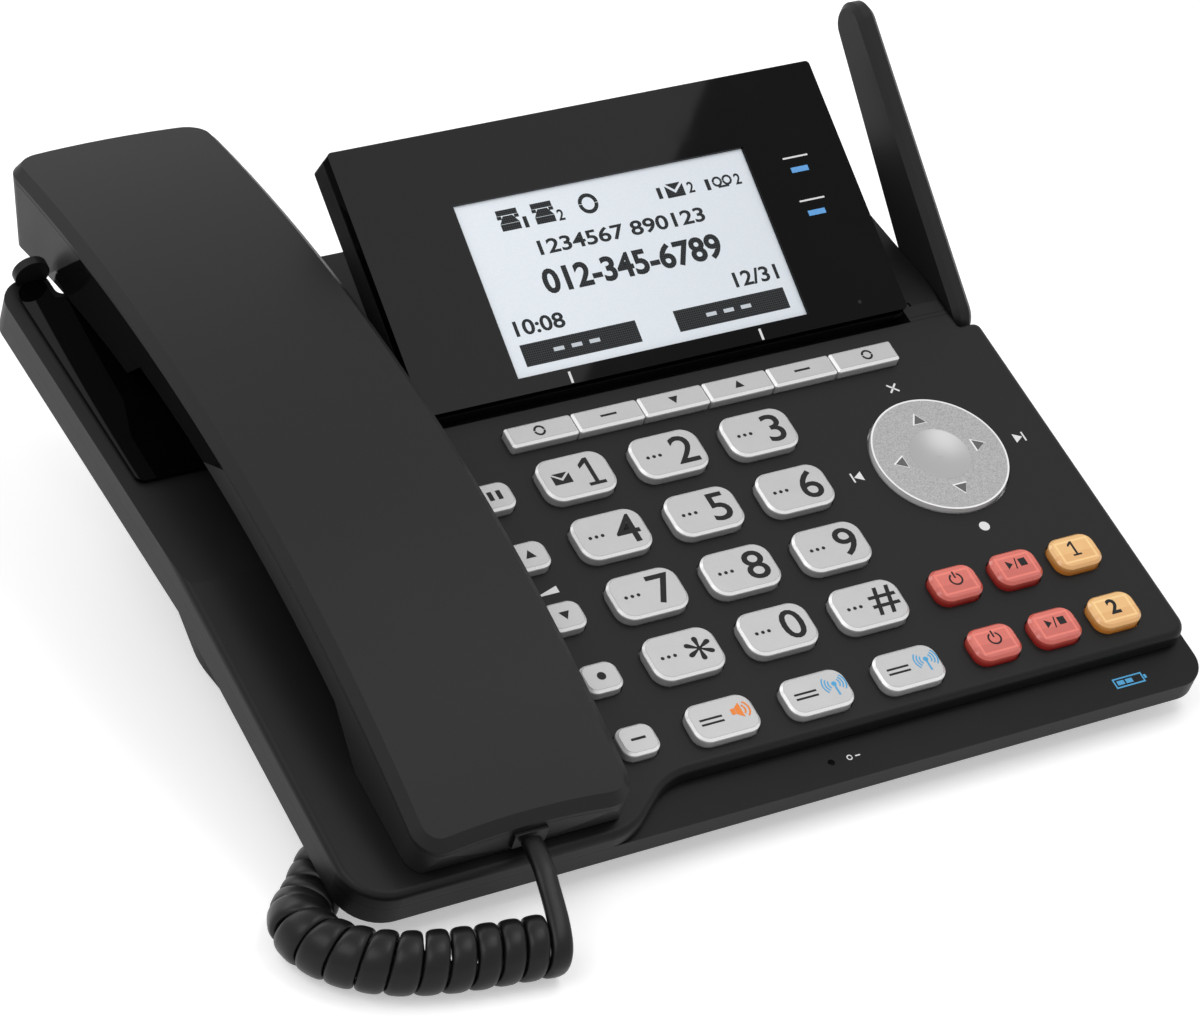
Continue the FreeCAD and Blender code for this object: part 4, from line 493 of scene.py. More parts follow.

# %% [markdown]
# The display is a liquid crystal panel. Its signs are made of small dots, so their dark ink has a
# fine square mesh of paler lines in it. The pale ground behind carries painted light: it is painted
# a little brighter on the left, and it glows faintly.

# %% Display panel
DOT_PITCH = 0.52


def segment_ink(name):
    """Dark ink with paler lines between the dots: where fract(x / pitch) is near 0."""
    finish = Finish(name, Specular_IOR_Level=0.1)
    x, y, _ = finish.deck()
    up = y / math.cos(DISPLAY_TILT)
    lines = largest_of([1.0 - (axis / DOT_PITCH).fraction().step(0.12, 0.3) for axis in (x, up)])
    finish.set("Base Color", (lines * 0.16).mix(srgb(14, 16, 18), srgb(150, 156, 162)))
    finish.set("Roughness", 0.35 + finish.noise(1.0) * 0.1)
    finish.bump(finish.noise(0.5), 0.005, 0.1)
    return finish.material


def lcd_panel(name):
    """Pale panel with painted light, brighter on the left, and a fine weave of cells in tone."""
    finish = Finish(name, Emission_Strength=0.08)
    # Painted light: the colour and the glow are brighter on the left.
    across = finish.x.step(-0.02, 0.07)
    weave = finish.place.node("TexVoronoi", {"Vector": finish.place, "Scale": 2400.0})
    tone = across.mix(srgb(224, 231, 238), srgb(214, 221, 228))
    shade = weave.step(0.0, 0.7)
    finish.set("Base Color", (shade * 0.08).mix(tone, grey(0.3)))
    finish.set("Emission Color", tone)
    finish.set("Roughness", 0.3 + finish.noise(4.0) * 0.08)
    finish.bump(weave, 0.004, 0.1)
    return finish.material


LCD_INK = segment_ink("segment_ink")
LCD = lcd_panel("lcd_panel_painted_light")
print("display finishes:", LCD_INK.name, LCD.name)

# %% [markdown]
# ## Dressing the solids
#
# Each node takes the finish of the real piece. Materials are only assigned here: the solids'
# own shapes are right as they are. Every key that has no entry of its own is silver.

# %% Give the nodes their finishes
FINISHES = {
    "upper_housing": HOUSING, "lower_housing": HOUSING, "cradle_insert": GLOSS,
    "desk_stand": STAND, "rubber_feet": RUBBER, "housing_screws": STEEL, "main_board": BOARD,
    "keypad_membrane": MAT_RUBBER, "loudspeaker": CLOTH, "base_microphone": STEEL,
    "usb_socket": STEEL, "phone_jacks": STAND, "hook_button": RIM_BLACK, "antenna": COVER,
    "display_bezel": FACE, "display_case": COVER, "lcd_module": LCD, "indicator_lenses": LENS,
    "handset_cover": COVER, "handset_shell": SHELL, "receiver_capsule": CLOTH,
    "handset_microphone": CLOTH, "cord_plug": RIM_BLACK, "dial_pad": DIAL,
    "dial_gimbal": RIM_BLACK,
}
LIT_ORANGE = ("key_lit_3", "key_lit_6")
for name, piece in NODES.items():
    if name.startswith("key_lit"):
        skin = ORANGE_CAP if name in LIT_ORANGE else RED_CAP
    else:
        skin = FINISHES.get(name, SILVER)
    piece.data.materials.clear()
    piece.data.materials.append(skin)
print("finishes on", len(NODES), "nodes;", len(FINISHES), "named one by one")

# %% [markdown]
# ## New pieces from arrays
#
# A curly cord has thousands of faces, which are quick to work out and slow to draw by hand.
# Every added piece is a grid or a set of prisms worked out as whole arrays. `add_mesh` turns
# such arrays into an object at the origin, with its place in its mesh.

# %% Mesh helpers


def add_mesh(name, points, faces, body, material, smooth=True):
    """Object at the origin from points in metres and faces, riding on a body if one is named."""
    mesh = bpy.data.meshes.new(name)
    mesh.from_pydata(np.asarray(points, float).tolist(), [], faces)
    mesh.polygons.foreach_set("use_smooth", [smooth] * len(mesh.polygons))
    mesh.materials.append(material)
    piece = bpy.data.objects.new(name, mesh)
    bpy.context.scene.collection.objects.link(piece)
    if body:
        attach(piece, body)
    return piece


def grid_faces(rows, columns):
    """Quads of a grid of rows by columns points, the columns closed into a ring."""
    row, column = np.meshgrid(np.arange(rows - 1), np.arange(columns), indexing="ij")
    following = (column + 1) % columns
    quads = np.stack([row * columns + column, row * columns + following,
                      (row + 1) * columns + following, (row + 1) * columns + column], axis=-1)
    return quads.reshape(-1, 4).tolist()


def prism(outline, low, high):
    """Points and faces of an upright prism over a counter-clockwise outline."""
    outline = np.asarray(outline, float)
    count = len(outline)
    bottom = np.c_[outline, np.full(count, low)]
    top = np.c_[outline, np.full(count, high)]
    faces = [list(range(count - 1, -1, -1)), list(range(count, 2 * count))]
    faces += grid_faces(2, count)
    return np.r_[bottom, top], faces


def joined(solids):
    """Several (points, faces) as one."""
    starts = np.cumsum([0] + [len(points) for points, _ in solids])
    faces = [[index + int(start) for index in face]
             for start, (_, own) in zip(starts, solids) for face in own]
    return np.concatenate([points for points, _ in solids]), faces


print("a grid of 3 by 4 points has", len(grid_faces(3, 4)), "quads")

# %% [markdown]
# ## The cord
#
# The handset cord is a flat vinyl cord wound into a springy coil. It leaves the handset's
# front end, drops over the edge of the base, coils on the table and runs back under the base
# to its jack. Three routes say where it lies: the lead, the coil's axis and the base lead. They
# are the control points of smooth NURBS lines, in millimetres in the part's own frame.

# %% Cord route
HANDSET_LEAD = np.array([
    (-65.85, -102.35, 18.2), (-66.75, -108.25, 17.6), (-67.85, -114.25, 14.6),
    (-68.75, -119.25, 11.6), (-68.95, -121.85, 8.0), (-70.55, -122.85, 5.0),
    (-74.45, -122.25, 5.0), (-79.45, -120.75, 6.5),
])
COIL = np.array([
    (-71.15, -121.65, 6.5), (-83.45, -119.65, 6.5), (-93.45, -117.25, 6.5), (-101.95, -113.75, 6.5),
    (-109.45, -107.25, 6.5), (-112.95, -99.25, 6.5), (-112.55, -89.75, 6.5), (-108.45, -80.75, 6.5),
    (-101.45, -72.75, 6.5), (-92.45, -67.25, 6.5), (-84.45, -64.35, 6.5), (-78.45, -62.75, 6.5),
])
BASE_LEAD = np.array([
    (-82.45, -63.15, 6.5), (-74.95, -60.55, 7.0), (-67.75, -56.05, 8.6), (-62.55, -48.65, 10.4),
    (-60.45, -41.05, 11.0), (-60.25, -34.25, 11.0),
])
print("route points:", len(HANDSET_LEAD), len(COIL), len(BASE_LEAD))

# %% [markdown]
# Blender's own NURBS spline turns a route into a line: a curve object is made from the control
# points, its line is read back as points, and the object is thrown away. Two helpers then
# measure a line and read it at even steps.

# %% Lines from the routes


def nurbs_line(name, route):
    """Points along a NURBS spline whose control points are the route, in metres."""
    curve = bpy.data.curves.new(name, "CURVE")
    curve.dimensions = "3D"
    curve.resolution_u = 24
    spline = curve.splines.new("NURBS")
    spline.points.add(len(route) - 1)
    spline.points.foreach_set("co", np.c_[route * MM, np.ones(len(route))].ravel())
    spline.order_u = 3
    spline.use_endpoint_u = True
    holder = bpy.data.objects.new(name, curve)
    mesh = bpy.data.meshes.new_from_object(holder)
    points = np.empty(len(mesh.vertices) * 3)
    mesh.vertices.foreach_get("co", points)
    bpy.data.objects.remove(holder)
    bpy.data.meshes.remove(mesh)
    bpy.data.curves.remove(curve)
    return points.reshape(-1, 3)


def along(points):
    """Running length along a line of points, starting at 0."""
    return np.r_[0, np.cumsum(np.linalg.norm(np.diff(points, axis=0), axis=1))]


def resampled(points, places):
    """Points of a line at given running lengths, by linear interpolation."""
    run = along(points)
    return np.stack([np.interp(places, run, points[:, axis]) for axis in range(3)], axis=1)


lead_line = nurbs_line("handset_lead_route", HANDSET_LEAD)
axis_line = nurbs_line("coil_route", COIL)
base_line = nurbs_line("base_lead_route", BASE_LEAD)
print("route lengths, mm:", [(along(line)[-1] / MM).round(1)
                            for line in (lead_line, axis_line, base_line)])

# %% [markdown]
# The straight ends and the coiled middle are one length of flat cord, 4.4 mm wide where it runs
# straight. Three small formulas help to shape it: a smooth step, vectors of length 1, and a
# cubic that joins two ends in given directions.

# %% Cord sizes and small formulas
LEAD_WIDTH = 4.4 * MM
CORD_WIDTH = 6.4 * MM
CORD_THICK = 2.6 * MM
COIL_RADIUS = 6.45 * MM
PITCHES = (4.8 * MM, 5.25 * MM)
STEP = PITCHES[0] / 32
AXIS_RADIUS = COIL_RADIUS - CORD_THICK / 2
CLEAR = 0.15 * MM
UPWARDS = np.array([0, 0, 1.0])


def smooth(values):
    """Smooth step of values clipped to 0..1."""
    clipped = np.clip(values, 0, 1)
    return clipped * clipped * (3 - 2 * clipped)


def unit(vectors):
    """Vectors of length 1, row by row."""
    return vectors / np.linalg.norm(vectors, axis=1, keepdims=True)


def hermite(first, first_way, last, last_way):
    """Cubic from one point to another with a given direction at each end, evenly stepped."""
    span = np.linalg.norm(last - first)
    t = np.linspace(0, 1, max(int(span / STEP), 8))[:, None]
    return ((2 * t**3 - 3 * t**2 + 1) * first + (t**3 - 2 * t**2 + t) * span * first_way
            + (3 * t**2 - 2 * t**3) * last + (t**3 - t**2) * span * last_way)


print("each turn has", round(PITCHES[0] / STEP), "points along its axis")

# %% [markdown]
# The turns are wound round the coil's axis as a helix. They lie loosely on the table: the axis
# wanders a little, and where the coil slips under the base it is pressed flatter. Where it
# bends, the turns crowd on the inside, so the cord is drawn a little narrower there instead of
# running into itself.

# %% The coil's turns
PRESSED = 0.62
SLIP = np.array([5.6, -2.2, 0.0]) * MM
LAY = (np.array([0.6, 1.2, 0.0]) * MM, np.array([-0.3, 0.9, 0.0]) * MM)


def ramp(run, start, length):
    """Smooth step from 0 to 1 over a length in mm that starts so far along."""
    return smooth((run - start * MM) / (length * MM))


def coil_turns(axis):
    """Turns c(s) = a(s) + r (n cos w + k b sin w), with w = pi + 2 pi (integral ds / p(s)).

    The pitch p grows from the first turns to the bend. The axis a slips sideways under the
    base and the turns are pressed by k there. Returns the turns, the direction of the flat
    side and the width at each point.
    """
    run = np.arange(0, along(axis)[-1], STEP)
    axis = resampled(axis, run)
    pitch = PITCHES[0] + (PITCHES[1] - PITCHES[0]) * ramp(run, 0, 45)
    away = ramp(run, 0, 42)[:, None]
    there = 1 - ramp(run, 62, 16)[:, None]
    axis = axis + (LAY[0] * (1 - away) + LAY[1] * away) * there
    under = ramp(run, 50, 20) * smooth((99 * MM - run) / (18 * MM))
    pressed = 1 - (1 - PRESSED) * ramp(run, 52, 14)
    axis = axis + under[:, None] * SLIP
    axis[:, 2] = AXIS_RADIUS * pressed + CORD_THICK / 2 + CLEAR
    ways = unit(np.gradient(axis, axis=0))
    side = unit(np.cross(ways, UPWARDS))
    angle = np.pi + 2 * np.pi * np.cumsum(STEP / pitch)
    out = np.cos(angle)[:, None] * side + (pressed * np.sin(angle))[:, None] * UPWARDS
    line = axis + AXIS_RADIUS * out
    curl = np.gradient(ways, axis=0) / STEP
    spacing = pitch * (1 - COIL_RADIUS * np.sum(curl * out, axis=1))
    return line, ways, np.clip(0.96 * spacing, 2.2 * MM, CORD_WIDTH)


coil_line, coil_flat, coil_widths = coil_turns(axis_line)
print("turns:", len(coil_line), "points, cord up to", (coil_widths.max() / MM).round(2), "mm wide")

# %% [markdown]
# The lead drops in front of the coil and becomes its first turn, and the last turn runs out
# into the base lead. Cubics join the three lines, and the direction of the cord's flat side is
# averaged over a few points, so that it turns gently from one stretch to the next.

# %% One line from end to end
DROP_FROM = 15.0 * MM
BASE_JOIN = 8 * MM


def way_at(pair):
    """Direction from the first to the second of two points."""
    return unit(np.diff(pair, axis=0))[0]


def averaged(rows, half):
    """Each row as the mean of itself and so many rows on either side."""
    kernel = np.ones(2 * half + 1) / (2 * half + 1)
    return np.stack([np.convolve(np.pad(rows[:, axis], half, mode="edge"), kernel, mode="valid")
                     for axis in range(3)], axis=1)


def whole_cord(turns, turn_flat, turn_width):
    """Lead, turns and base lead as one line, with the flat side and the width at each point."""
    lead = resampled(lead_line, np.arange(0, along(lead_line)[-1], STEP))
    lead = lead[:int(np.argmax(lead[:, 2] < DROP_FROM))]
    drop = hermite(lead[-1], way_at(lead[-2:]), turns[0], way_at(turns[:2]))[1:-1]
    base = resampled(base_line, np.arange(0, along(base_line)[-1], STEP))
    base = base[base[:, 0] > turns[-1, 0] + BASE_JOIN]
    join = hermite(turns[-1], way_at(turns[-2:]), base[0], way_at(base[:2]))[1:-1]
    line = np.concatenate([lead, drop, turns, join, base])
    line[:, 2] = np.maximum(line[:, 2], CORD_THICK / 2 + CLEAR)
    before, after = len(lead) + len(drop), len(join) + len(base)
    side = unit(np.cross(unit(np.gradient(line, axis=0)), UPWARDS) + [-1e-6, 0, 0])
    side[len(lead):before] = [-1.0, 0, 0]
    flat = averaged(np.concatenate([side[:before], turn_flat, side[-after:]]), 12)
    width = np.concatenate([np.full(len(lead), LEAD_WIDTH),
                            np.linspace(LEAD_WIDTH, turn_width[0], len(drop)), turn_width,
                            np.full(after, LEAD_WIDTH)])
    return line, flat, width


cord_line, cord_flat, cord_widths = whole_cord(coil_line, coil_flat, coil_widths)

# %% [markdown]
# A rounded flat section is carried along the line. The cord belongs to two bodies: its start goes
# up with the handset and the rest stays with the base. Here it rides on neither. It stands for the
# three cord solids.

# %% The cord's skin


def flat_tube(name, line, flat, widths, material):
    """Rounded flat section carried along a line: w |cos|^p across, t |sin|^p through."""
    ways = unit(np.gradient(line, axis=0))
    flat = unit(flat - np.sum(flat * ways, axis=1, keepdims=True) * ways)
    thin = np.cross(ways, flat)
    angle = np.linspace(0, 2 * np.pi, 20, endpoint=False)
    across = np.sign(np.cos(angle)) * np.abs(np.cos(angle)) ** 0.75 / 2
    through = np.sign(np.sin(angle)) * np.abs(np.sin(angle)) ** 0.75 / 2
    rings = (line[:, None, :] + flat[:, None, :] * (widths[:, None] * across)[:, :, None]
             + thin[:, None, :] * (CORD_THICK * through)[None, :, None])
    count, sides = rings.shape[:2]
    faces = grid_faces(count, sides)
    faces += [list(range(sides - 1, -1, -1)), list(range((count - 1) * sides, count * sides))]
    return add_mesh(name, rings.reshape(-1, 3), faces, None, material)


handset_cord = flat_tube("handset_cord", cord_line, cord_flat, cord_widths, VINYL)
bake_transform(handset_cord)
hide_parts("cord_coil", "cord_lead_handset", "cord_lead_base")
print("cord skin:", len(handset_cord.data.polygons), "faces")

# %% [markdown]
# ## Legends
#
# Keys carry plain digits and simple signs only. Each legend is a very thin solid that lies on
# its key and moves with it. Digits come from the outlines of Blender's own font, scaled to the
# height they have on the key.

# %% Digits as thin solids
INK_LIFT = 0.035


def text_solid(words, height, x, y, spread=1.0, bold=0.012):
    """Points (mm, lying flat, centred on x and y) and faces of a line of text."""
    curve = bpy.data.curves.new("lettering", "FONT")
    curve.body = words
    curve.align_x = "CENTER"
    curve.size = 1.0
    curve.extrude = 0.01
    curve.offset = bold
    curve.resolution_u = 4
    holder = bpy.data.objects.new("lettering", curve)
    mesh = bpy.data.meshes.new_from_object(holder)
    points = np.empty(len(mesh.vertices) * 3)
    mesh.vertices.foreach_get("co", points)
    points = points.reshape(-1, 3)
    faces = [list(polygon.vertices) for polygon in mesh.polygons]
    bpy.data.objects.remove(holder)
    bpy.data.meshes.remove(mesh)
    bpy.data.curves.remove(curve)
    low, high = points.min(axis=0), points.max(axis=0)
    scale = height / (high[1] - low[1])
    flat = (points[:, :2] - (low[:2] + high[:2]) / 2) * scale * [spread, 1] + [x, y]
    return np.c_[flat, np.where(points[:, 2] > 0, INK_LIFT, -INK_LIFT)], faces


print("a digit as a solid has", len(text_solid("5", 7.6, 0, 0)[0]), "points")

# %% [markdown]
# Signs are thin prisms over outlines: boxes, discs, bands of a ring and triangles. An outline
# is a list of corners in millimetres, counter-clockwise, which can be turned and moved as an
# array before it gets its thickness.

# %% Signs as thin solids


def sign_solid(outline, x=0.0, y=0.0):
    """Thin prism over an outline in mm, moved by x and y."""
    return prism(np.asarray(outline, float) + [x, y], -INK_LIFT, INK_LIFT)


def box_outline(left, low, right, high):
    """Upright box from its left, low, right and high sides."""
    return [(left, low), (right, low), (right, high), (left, high)]


def arc_outline(radius, width, first, last):
    """Band of a ring between two angles in degrees, out along one edge and back the other."""
    angle = np.radians(np.linspace(first, last, 20))
    way = np.c_[np.cos(angle), np.sin(angle)]
    return np.concatenate([way * (radius + width / 2), (way * (radius - width / 2))[::-1]])


def disc(radius, x=0.0, y=0.0):
    """Round outline with 24 corners."""
    angle = np.linspace(0, 2 * np.pi, 24, endpoint=False)
    return np.c_[radius * np.cos(angle) + x, radius * np.sin(angle) + y]


def turned(outline, degrees):
    """Outline turned about the origin."""
    angle = math.radians(degrees)
    c, s = math.cos(angle), math.sin(angle)
    return np.asarray(outline, float) @ np.array([[c, s], [-s, c]])


UP_ARROW = np.array([(-1.0, -0.7), (1.0, -0.7), (0.0, 1.0)])
print("an arrow turned half round points to", turned(UP_ARROW, 180)[2].round(3))

# %% [markdown]
# A legend is made flat round (0, 0), then carried to its key on the deck or to the display's
# face. All solids of one legend become one piece, which rides with its key.

# %% Legends in their places
KEY_TOP = 1.3


def legend(name, solids, place, body, material):
    """Legend solids given in millimetres, carried to their place, as one piece."""
    points, faces = joined(solids)
    return add_mesh(name, place(points), faces, body, material, smooth=False)


def on_deck(x, y, z):
    """A way to place points that lie round a point of the deck."""
    return lambda points: deck(points + [x, y, z])


def on_display(z):
    """A way to place points that lie on the display's face, this far out of it."""
    return lambda points: display(points + [0.0, 0.0, z])


print("key tops are", KEY_TOP, "mm over the deck's zero")

# %% [markdown]
# The digit 1 key has an envelope for its messages, which the display shows as well. The ones on
# keys are drawn as stem, flag and foot, because the font's own has no foot.

# %% Envelope and digit one


def envelope(x, y, width, height):
    """Envelope: a body in two halves with a gap along the flap's fold."""
    half, gap = width / 2, 0.12 * height
    low, high, fold = y - height / 2, y + height / 2, y - 0.1 * height
    flap = [(x - half + gap, high), (x, fold + gap), (x + half - gap, high)]
    rest = [(x - half, low), (x + half, low), (x + half, high - gap), (x, fold - gap),
            (x - half, high - gap)]
    return [prism(flap, -INK_LIFT, INK_LIFT), prism(rest, -INK_LIFT, INK_LIFT)]


def digit_one(height, x, y):
    """A one: its stem, its flag and its foot."""
    half, wide, foot = height / 2, 0.13 * height, 0.11 * height
    flag = [(-wide / 2, half), (-0.3 * height, 0.3 * height), (-0.3 * height, 0.16 * height),
            (-wide / 2, 0.32 * height)]
    parts = (box_outline(-wide / 2, foot - half, wide / 2, half), flag,
             box_outline(-0.27 * height, -half, 0.27 * height, foot - half))
    return [sign_solid(outline, x, y) for outline in parts]


print("an envelope has", len(envelope(0, 0, 4.4, 3.0)), "parts, a one", len(digit_one(7.6, 0, 0)))

# %% [markdown]
# Digit keys stand in a block of three by four, 23 mm by 16.8 mm apart. Each digit stands right
# of the key's middle; beside it lie three small dots, or the envelope on the digit 1 key.

# %% Digits
KEY_ROWS = (("1", "2", "3"), ("4", "5", "6"), ("7", "8", "9"), ("star", "0", "hash"))
KEY_ACROSS, KEY_UP = 23.0, 16.8
DIGIT_X = 3.6

for row, names in enumerate(KEY_ROWS):
    for column, name in enumerate(names):
        if name == "1":
            solids = digit_one(7.6, DIGIT_X, 0.0) + envelope(-3.8, -0.2, 4.4, 3.0)
        else:
            mark = {"star": "*", "hash": "#"}.get(name, name)
            height = {"star": 6.2, "hash": 7.2}.get(name, 7.6)
            solids = [text_solid(mark, height, DIGIT_X, 0.0, spread=1.12, bold=0.008)]
            solids += [sign_solid(disc(0.42, x, -0.2)) for x in (-5.4, -3.9, -2.4)]
        legend("digit_" + name, solids, on_deck(column * KEY_ACROSS, -row * KEY_UP, KEY_TOP),
               "key_" + name, INK)
print("digit keys marked:", sum(len(names) for names in KEY_ROWS))

# %% [markdown]
# The six keys in a row under the display have plain signs: a ring, a dash, two arrows, a dash
# and a ring. The outer rings sit a little towards their neighbours.

# %% Keys under the display
SOFT_MARKS = (("ring", -0.6), ("dash", 0.0), ("down", 0.0),
              ("up", 0.0), ("dash", 0.0), ("ring", 0.6))
SOFT_SHAPES = {
    "dash": [box_outline(-2.0, -0.27, 2.0, 0.27)],
    "up": [UP_ARROW * 1.15],
    "down": [turned(UP_ARROW, 180) * 1.15],
    "ring": [arc_outline(1.15, 0.5, 5, 175), arc_outline(1.15, 0.5, 185, 355)],
}
for number, (shape, x) in enumerate(SOFT_MARKS):
    legend(f"soft_sign_{number + 1}", [sign_solid(outline, x) for outline in SOFT_SHAPES[shape]],
           on_deck(-1.7 + number * 16.55, 13.5, KEY_TOP), f"key_soft_{number + 1}",
           INK)
print("keys under the display marked:", len(SOFT_MARKS))

# %% [markdown]
# Five small keys stand in a column between the handset and the digits, one for each row of
# keys. Two of them are arrows for the volume.

# %% Keys beside the handset
SIDE_SHAPES = (
    [box_outline(-1.6, -1.2, -0.5, 1.2), box_outline(0.5, -1.2, 1.6, 1.2)],
    [UP_ARROW * 1.25],
    [turned(UP_ARROW, 180) * 1.25],
    [disc(1.0)],
    [box_outline(-1.7, -0.3, 1.7, 0.3)],
)
for number, outlines in enumerate(SIDE_SHAPES):
    legend(f"side_sign_{number + 1}", [sign_solid(outline) for outline in outlines],
           on_deck(-20.2, -0.5 - number * KEY_UP, KEY_TOP), f"key_side_{number + 1}",
           INK)
print("keys beside the handset marked:", len(SIDE_SHAPES))

# %% [markdown]
# The three keys of the front row switch the loudspeaker and the two lines. They have an orange
# loudspeaker and two blue radio masts, each beside two bars in the place of words.

# %% Front row of keys
FRONT_ROW = {"speaker": 0.0, "talk_left": 23.0, "talk_right": 46.0}
FRONT_Y = -68.0
SPEAKER_SIGN = [box_outline(-2.0, -0.75, -1.0, 0.75),
                [(-0.9, -0.85), (0.5, -1.9), (0.5, 1.9), (-0.9, 0.85)],
                arc_outline(1.35, 0.4, -50, 50), arc_outline(2.3, 0.4, -52, 52)]
legend("speaker_sign", [sign_solid(outline, 4.1, 0.5) for outline in SPEAKER_SIGN],
       on_deck(0.0, FRONT_Y, KEY_TOP), "key_speaker", ORANGE_PRINT)
WAVE_SIGN = [disc(0.6)] + [arc_outline(radius, 0.32, turn - 42, turn + 42)
                           for radius in (1.35, 2.05, 2.75) for turn in (0, 180)]
WAVE_SIGN += [box_outline(-0.22, -3.0, 0.22, -0.6)]
for name in ("talk_left", "talk_right"):
    legend(name + "_sign", [sign_solid(outline, 4.4, 0.7) for outline in WAVE_SIGN],
           on_deck(FRONT_ROW[name], FRONT_Y, KEY_TOP), "key_" + name, BLUE_PRINT)
WORD_BARS = [box_outline(-5.6, -1.1, -0.2, -0.6), box_outline(-5.6, 0.1, -0.2, 0.6)]
for name, x in FRONT_ROW.items():
    legend(name + "_bars", [sign_solid(outline) for outline in WORD_BARS],
           on_deck(x, FRONT_Y, KEY_TOP), "key_" + name, INK)
print("front row marked:", list(FRONT_ROW))

# %% [markdown]
# Each line has a row of lit keys: power, play and stop, and the line's own number.

# %% Signs on the lit keys
POWER_SIGN = [arc_outline(1.45, 0.42, 118, 422), box_outline(-0.2, 0.3, 0.2, 2.1)]
PLAY_SIGN = [[(-2.4, -1.1), (-0.9, 0.0), (-2.4, 1.1)],
             [(-0.6, -1.4), (-0.3, -1.4), (0.4, 1.4), (0.1, 1.4)],
             box_outline(0.8, -1.0, 2.6, 1.0)]
LINE_NUMBERS = (digit_one(4.0, -0.2, 0.6), [text_solid("2", 4.0, -0.2, 0.6, bold=0.03)])
for number, (x, y) in enumerate(LIT_PLACES):
    line, column = divmod(number, 3)
    if column == 2:
        solids, slot_name = LINE_NUMBERS[line], "lit_key_orange"
    else:
        solids = [sign_solid(outline, 0.2, 0.6) for outline in (POWER_SIGN, PLAY_SIGN)[column]]
        slot_name = "lit_key_red"
    legend(f"lit_sign_{number + 1}", solids, on_deck(x, y, KEY_TOP), f"key_lit_{number + 1}",
           INK)
print("lit keys marked:", len(LIT_PLACES))

# %% [markdown]
# The round pad has four pressed-in arrows, drawn in paint: each is a triangle of painted shade with
# a painted highlight along its edge on the side away from the lamp.

# %% Arrows on the pad
DIAL_TOP = 0.1
# Painted shade fills each arrow, and a paler triangle behind it is a painted highlight.
SHADE = plain("pressed_shade", grey(0.09), 0.5, metal=0.2, spread=0.3)
PAINTED_HIGHLIGHT = plain("pressed_edge_highlight", grey(0.75), 0.35, metal=0.3, spread=0.05)
for name, degrees in (("rear", 0), ("left", 90), ("front", 180), ("right", 270)):
    spot = turned([(0.0, 10.2)], degrees)
    arrow = turned(UP_ARROW * 1.5, degrees) + spot
    edge = turned(UP_ARROW * 1.9, degrees) + spot + [-0.12, 0.1]
    place = on_deck(*DIAL_CENTRE, DIAL_TOP)
    legend("dial_highlight_" + name, [prism(edge, -INK_LIFT, INK_LIFT)], place, "dial",
           PAINTED_HIGHLIGHT)
    legend("dial_arrow_" + name, [prism(arrow, -INK_LIFT, 2 * INK_LIFT)], place, "dial",
           SHADE)
print("pad arrows on a circle of 10.2 mm round", DIAL_CENTRE)

# %% [markdown]
# White signs are printed on the deck round the pad and as a volume wedge beside the arrow keys.
# The lip in front has a small sign by its microphone hole and a blue battery at its right end,
# over the charging socket.

# %% Print on deck and lip
DECK_TOP = -1.1
LIP_TOP = -5.1
DASH = box_outline(-1.6, -0.22, 1.6, 0.22)
DECK_SIGNS = [
    [turned(DASH, 45) + [84.3, 4.6], turned(DASH, -45) + [84.3, 4.6]],
    [disc(1.25, 84.3, -37.0)],
    [np.array([(-1.0, -1.3), (1.1, 0.0), (-1.0, 1.3)]) + [105.6, -16.4],
     np.array(box_outline(1.3, -1.3, 1.7, 1.3)) + [105.6, -16.4]],
    [np.array([(1.0, 1.3), (-1.1, 0.0), (1.0, -1.3)]) + [63.2, -16.4],
     np.array(box_outline(-1.7, -1.3, -1.3, 1.3)) + [63.2, -16.4]],
    [np.array([(-3.0, -0.9), (3.0, -0.9), (3.0, 0.9)]) + [-20.2, -25.8]],
]
legend("deck_signs",
       [sign_solid(outline) for outlines in DECK_SIGNS for outline in outlines],
       on_deck(0.0, 0.0, DECK_TOP), "base", WHITE_PRINT)
legend("lip_dot_sign", [sign_solid(arc_outline(0.55, 0.25, 5, 355), 25.2, -81.7),
                        sign_solid(box_outline(-0.6, -0.15, 0.6, 0.15), 27.2, -81.7)],
       on_deck(0.0, 0.0, LIP_TOP), "base", WHITE_PRINT)
BATTERY = [box_outline(-4.2, -1.3, 3.4, -0.95), box_outline(-4.2, 0.95, 3.4, 1.3),
           box_outline(-4.2, -0.95, -3.85, 0.95), box_outline(3.05, -0.95, 3.4, 0.95),
           box_outline(3.6, -0.5, 4.2, 0.5), box_outline(-3.4, -0.55, -1.6, 0.55),
           box_outline(-1.2, -0.55, 0.6, 0.55)]
legend("battery_sign", [sign_solid(outline, 97.0, -82.0) for outline in BATTERY],
       on_deck(0.0, 0.0, LIP_TOP), "base", BLUE_PRINT)
print("signs on the deck:", len(DECK_SIGNS), "and two on the lip")

# %% [markdown]
# The display shows plain content: two line symbols, a ring, an envelope and a tape along the
# top, then a row of digits, a large number, a date and a time. All lines are given in
# millimetres from the display's lower left corner.

# %% Display content
GLASS = -0.8
PHONE_SIGN = [box_outline(-2.4, -2.6, 2.4, -1.0),
              [(-2.4, -0.9), (2.4, -0.9), (1.2, 0.9), (-1.2, 0.9)],
              box_outline(-2.6, 1.1, 2.6, 2.4), box_outline(-2.7, 0.2, -1.6, 1.0),
              box_outline(1.6, 0.2, 2.7, 1.0)]
TAPE_SIGN = [arc_outline(1.0, 0.5, *ends) + [x, 0.3]
             for x in (-1.3, 1.3) for ends in ((0, 178), (182, 358))]
TAPE_SIGN += [box_outline(-1.4, -1.3, 1.4, -0.8)]


def lcd_text(words, height, left, right, y, bold=0.02):
    """Line of digits fitted between two x, centred on y."""
    points, faces = text_solid(words, height, 0.0, 0.0, bold=bold)
    width = points[:, 0].max() - points[:, 0].min()
    points[:, 0] = points[:, 0] * (right - left) / width + (left + right) / 2
    points[:, 1] += y
    return points, faces


